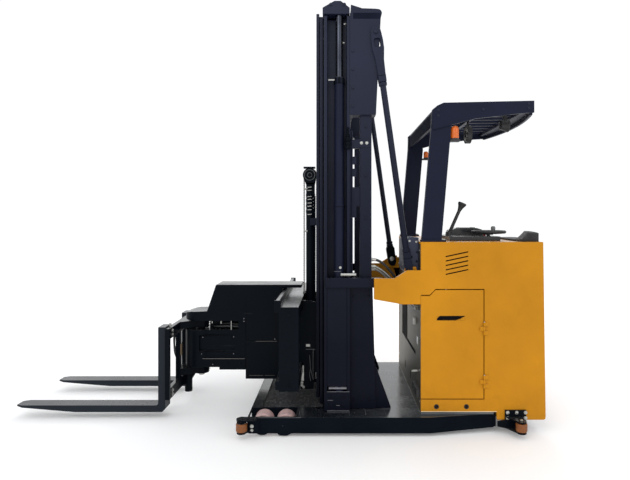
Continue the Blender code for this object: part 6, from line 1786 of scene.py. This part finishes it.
class TRUCK_OT_hoses(bpy.types.Operator):
    """Hydraulic hoses from the mast to the front wall with crimped ends, and two braided lines"""
    bl_idname = "truck.hoses"
    bl_label = "Mast hoses"

    def execute(self, context):
        for node, y in (("mast_hose_outer", -0.470), ("mast_hose_inner", -0.435)):
            start = Vector((d(0.260) + 0.0003, y - 0.040, 1.200))
            end = Vector((d(FRONT_WALL) - 0.0003, y, 0.960))
            stub, lean = Vector((0.014, 0, 0)), Vector((0.120, 0, 0))
            near, far = start + stub, end - stub
            route = [start]
            for step in range(31):
                t = step / 30
                route.append(near * (1 - t) ** 3 + (near + lean) * 3 * t * (1 - t) ** 2
                             + (far - lean) * 3 * t * t * (1 - t) + far * t ** 3)
            route.append(end)
            made = finished(f"{node}_tube", tube(route, 0.0088, 16), "hose")
            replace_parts(made, node)
            crimps = merged(bar(start, start + Vector((0.034, 0, 0)), 0.0108, 20),
                            bar(start, start + Vector((0.012, 0, 0)), 0.0135, 6),
                            bar(end, end - Vector((0.034, 0, 0)), 0.0108, 20),
                            bar(end, end - Vector((0.012, 0, 0)), 0.0135, 6))
            finished(f"{node}_ends", crimps, "zinc", "chassis", 0.0006)
        # Braided return lines below them
        for number, (y, low, drop) in enumerate(((-0.500, 1.150, 0.870), (-0.452, 1.128, 0.850)), 1):
            start, end = Vector((d(0.2604), y, low)), Vector((d(0.5986), y, drop))
            route = smooth_route([start, start + Vector((0.030, 0, 0)),
                                  start + Vector((0.100, 0, -0.045)),
                                  (start + end) / 2 + Vector((0.020, 0, 0.005)),
                                  end - Vector((0.090, 0, -0.060)), end - Vector((0.030, 0, 0)), end], 8)
            finished(f"return_line_{number}", tube(route, 0.0080, 14), "braid")
            nuts = merged(bar(start, start + Vector((0.030, 0, 0)), 0.0115, 6),
                          bar(end - Vector((0.030, 0, 0)), end, 0.0115, 6))
            finished(f"return_line_nuts_{number}", nuts, "zinc")
        return {"FINISHED"}


class TRUCK_OT_stage(bpy.types.Operator):
    """Pale floor, soft studio light and the camera at the photograph's viewing angle"""
    bl_idname = "truck.stage"
    bl_label = "Stage"

    def execute(self, context):
        scene = context.scene
        bm = bmesh.new()
        bmesh.ops.create_grid(bm, x_segments=1, y_segments=1, size=40)
        floor = plain("stage_floor", bm)
        made = Finish("Pale floor")
        made.colour(made.blend(made.noise(0.8, 3.0), (0.88, 0.88, 0.88), (0.92, 0.92, 0.92)))
        made.put(Roughness=0.9, Emission_Color=(1.0, 1.0, 1.0, 1), Emission_Strength=0.12)
        floor.data.materials.append(made.material)
        world = scene.world or bpy.data.worlds.new("Studio")
        scene.world = world
        world.use_nodes = True
        shade_node = world.node_tree.nodes["Background"]
        shade_node.inputs["Color"].default_value = (0.98, 0.99, 1.0, 1)
        shade_node.inputs["Strength"].default_value = 1.04
        for name, place, target, size, power in (
                ("key", (-1.5, -5.5, 5.0), (0.4, 0, 1.2), 3.5, 60),
                ("fill", (5.0, -4.5, 3.2), (0.8, 0, 1.0), 3.0, 30),
                ("rim", (2.0, 5.0, 4.5), (0.4, 0, 1.4), 3.0, 60)):
            light = bpy.data.lights.new(name, "AREA")
            light.shape = "DISK"
            light.size = size
            light.energy = power
            lamp = bpy.data.objects.new(name, light)
            lamp.location = place
            lamp.rotation_euler = (Vector(target) - Vector(place)).to_track_quat("-Z", "Y").to_euler()
            scene.collection.objects.link(lamp)
        lens = bpy.data.cameras.new("photo_camera")
        lens.sensor_width = 36
        lens.lens = 36 * FOCAL / PICTURE
        lens.shift_x = SHIFT_X / PICTURE
        lens.shift_y = SHIFT_Y / PICTURE
        camera = bpy.data.objects.new("photo_camera", lens)
        camera.location = (DATUM, -CAMERA_AWAY, CAMERA_HIGH)
        camera.rotation_euler = (math.pi / 2, 0, 0)
        scene.collection.objects.link(camera)
        scene.camera = camera
        scene.view_settings.view_transform = "Standard"
        return {"FINISHED"}


OPERATORS = (TRUCK_OT_chassis, TRUCK_OT_load_wheels, TRUCK_OT_guide_rollers, TRUCK_OT_mast,
             TRUCK_OT_lift_cylinders, TRUCK_OT_free_lift, TRUCK_OT_carriage, TRUCK_OT_head,
             TRUCK_OT_forks, TRUCK_OT_body, TRUCK_OT_doors, TRUCK_OT_battery, TRUCK_OT_stays,
             TRUCK_OT_guard, TRUCK_OT_lamps, TRUCK_OT_bay, TRUCK_OT_steering, TRUCK_OT_rear_pad,
             TRUCK_OT_drive, TRUCK_OT_hoses, TRUCK_OT_stage)


class TRUCK_PT_panel(bpy.types.Panel):
    """Sizes and colours of the truck, and one button for each group of pieces"""
    bl_idname = "TRUCK_PT_panel"
    bl_label = "Narrow aisle truck"
    bl_space_type = "VIEW_3D"
    bl_region_type = "UI"
    bl_category = "Truck"

    def draw(self, context):
        for group in (context.scene.truck_finish, context.scene.truck_sizes):
            for name in group.bl_rna.properties.keys():
                if name not in {"rna_type", "name"}:
                    self.layout.prop(group, name)
        for operator in OPERATORS:
            self.layout.operator(operator.bl_idname)


CLASSES = (TruckFinish, TruckSizes, *OPERATORS, TRUCK_PT_panel)


def register():
    """Adds the property groups, the operators and the panel."""
    for group in CLASSES:
        bpy.utils.register_class(group)
    bpy.types.Scene.truck_finish = PointerProperty(type=TruckFinish)
    bpy.types.Scene.truck_sizes = PointerProperty(type=TruckSizes)


def unregister():
    """Takes them away again."""
    del bpy.types.Scene.truck_finish
    del bpy.types.Scene.truck_sizes
    for group in reversed(CLASSES):
        bpy.utils.unregister_class(group)


def main():
    """Registers the add-on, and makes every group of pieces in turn."""
    register()
    for operator in OPERATORS:
        group, word = operator.bl_idname.split(".")
        getattr(getattr(bpy.ops, group), word)()


if __name__ == "__main__":
    main()
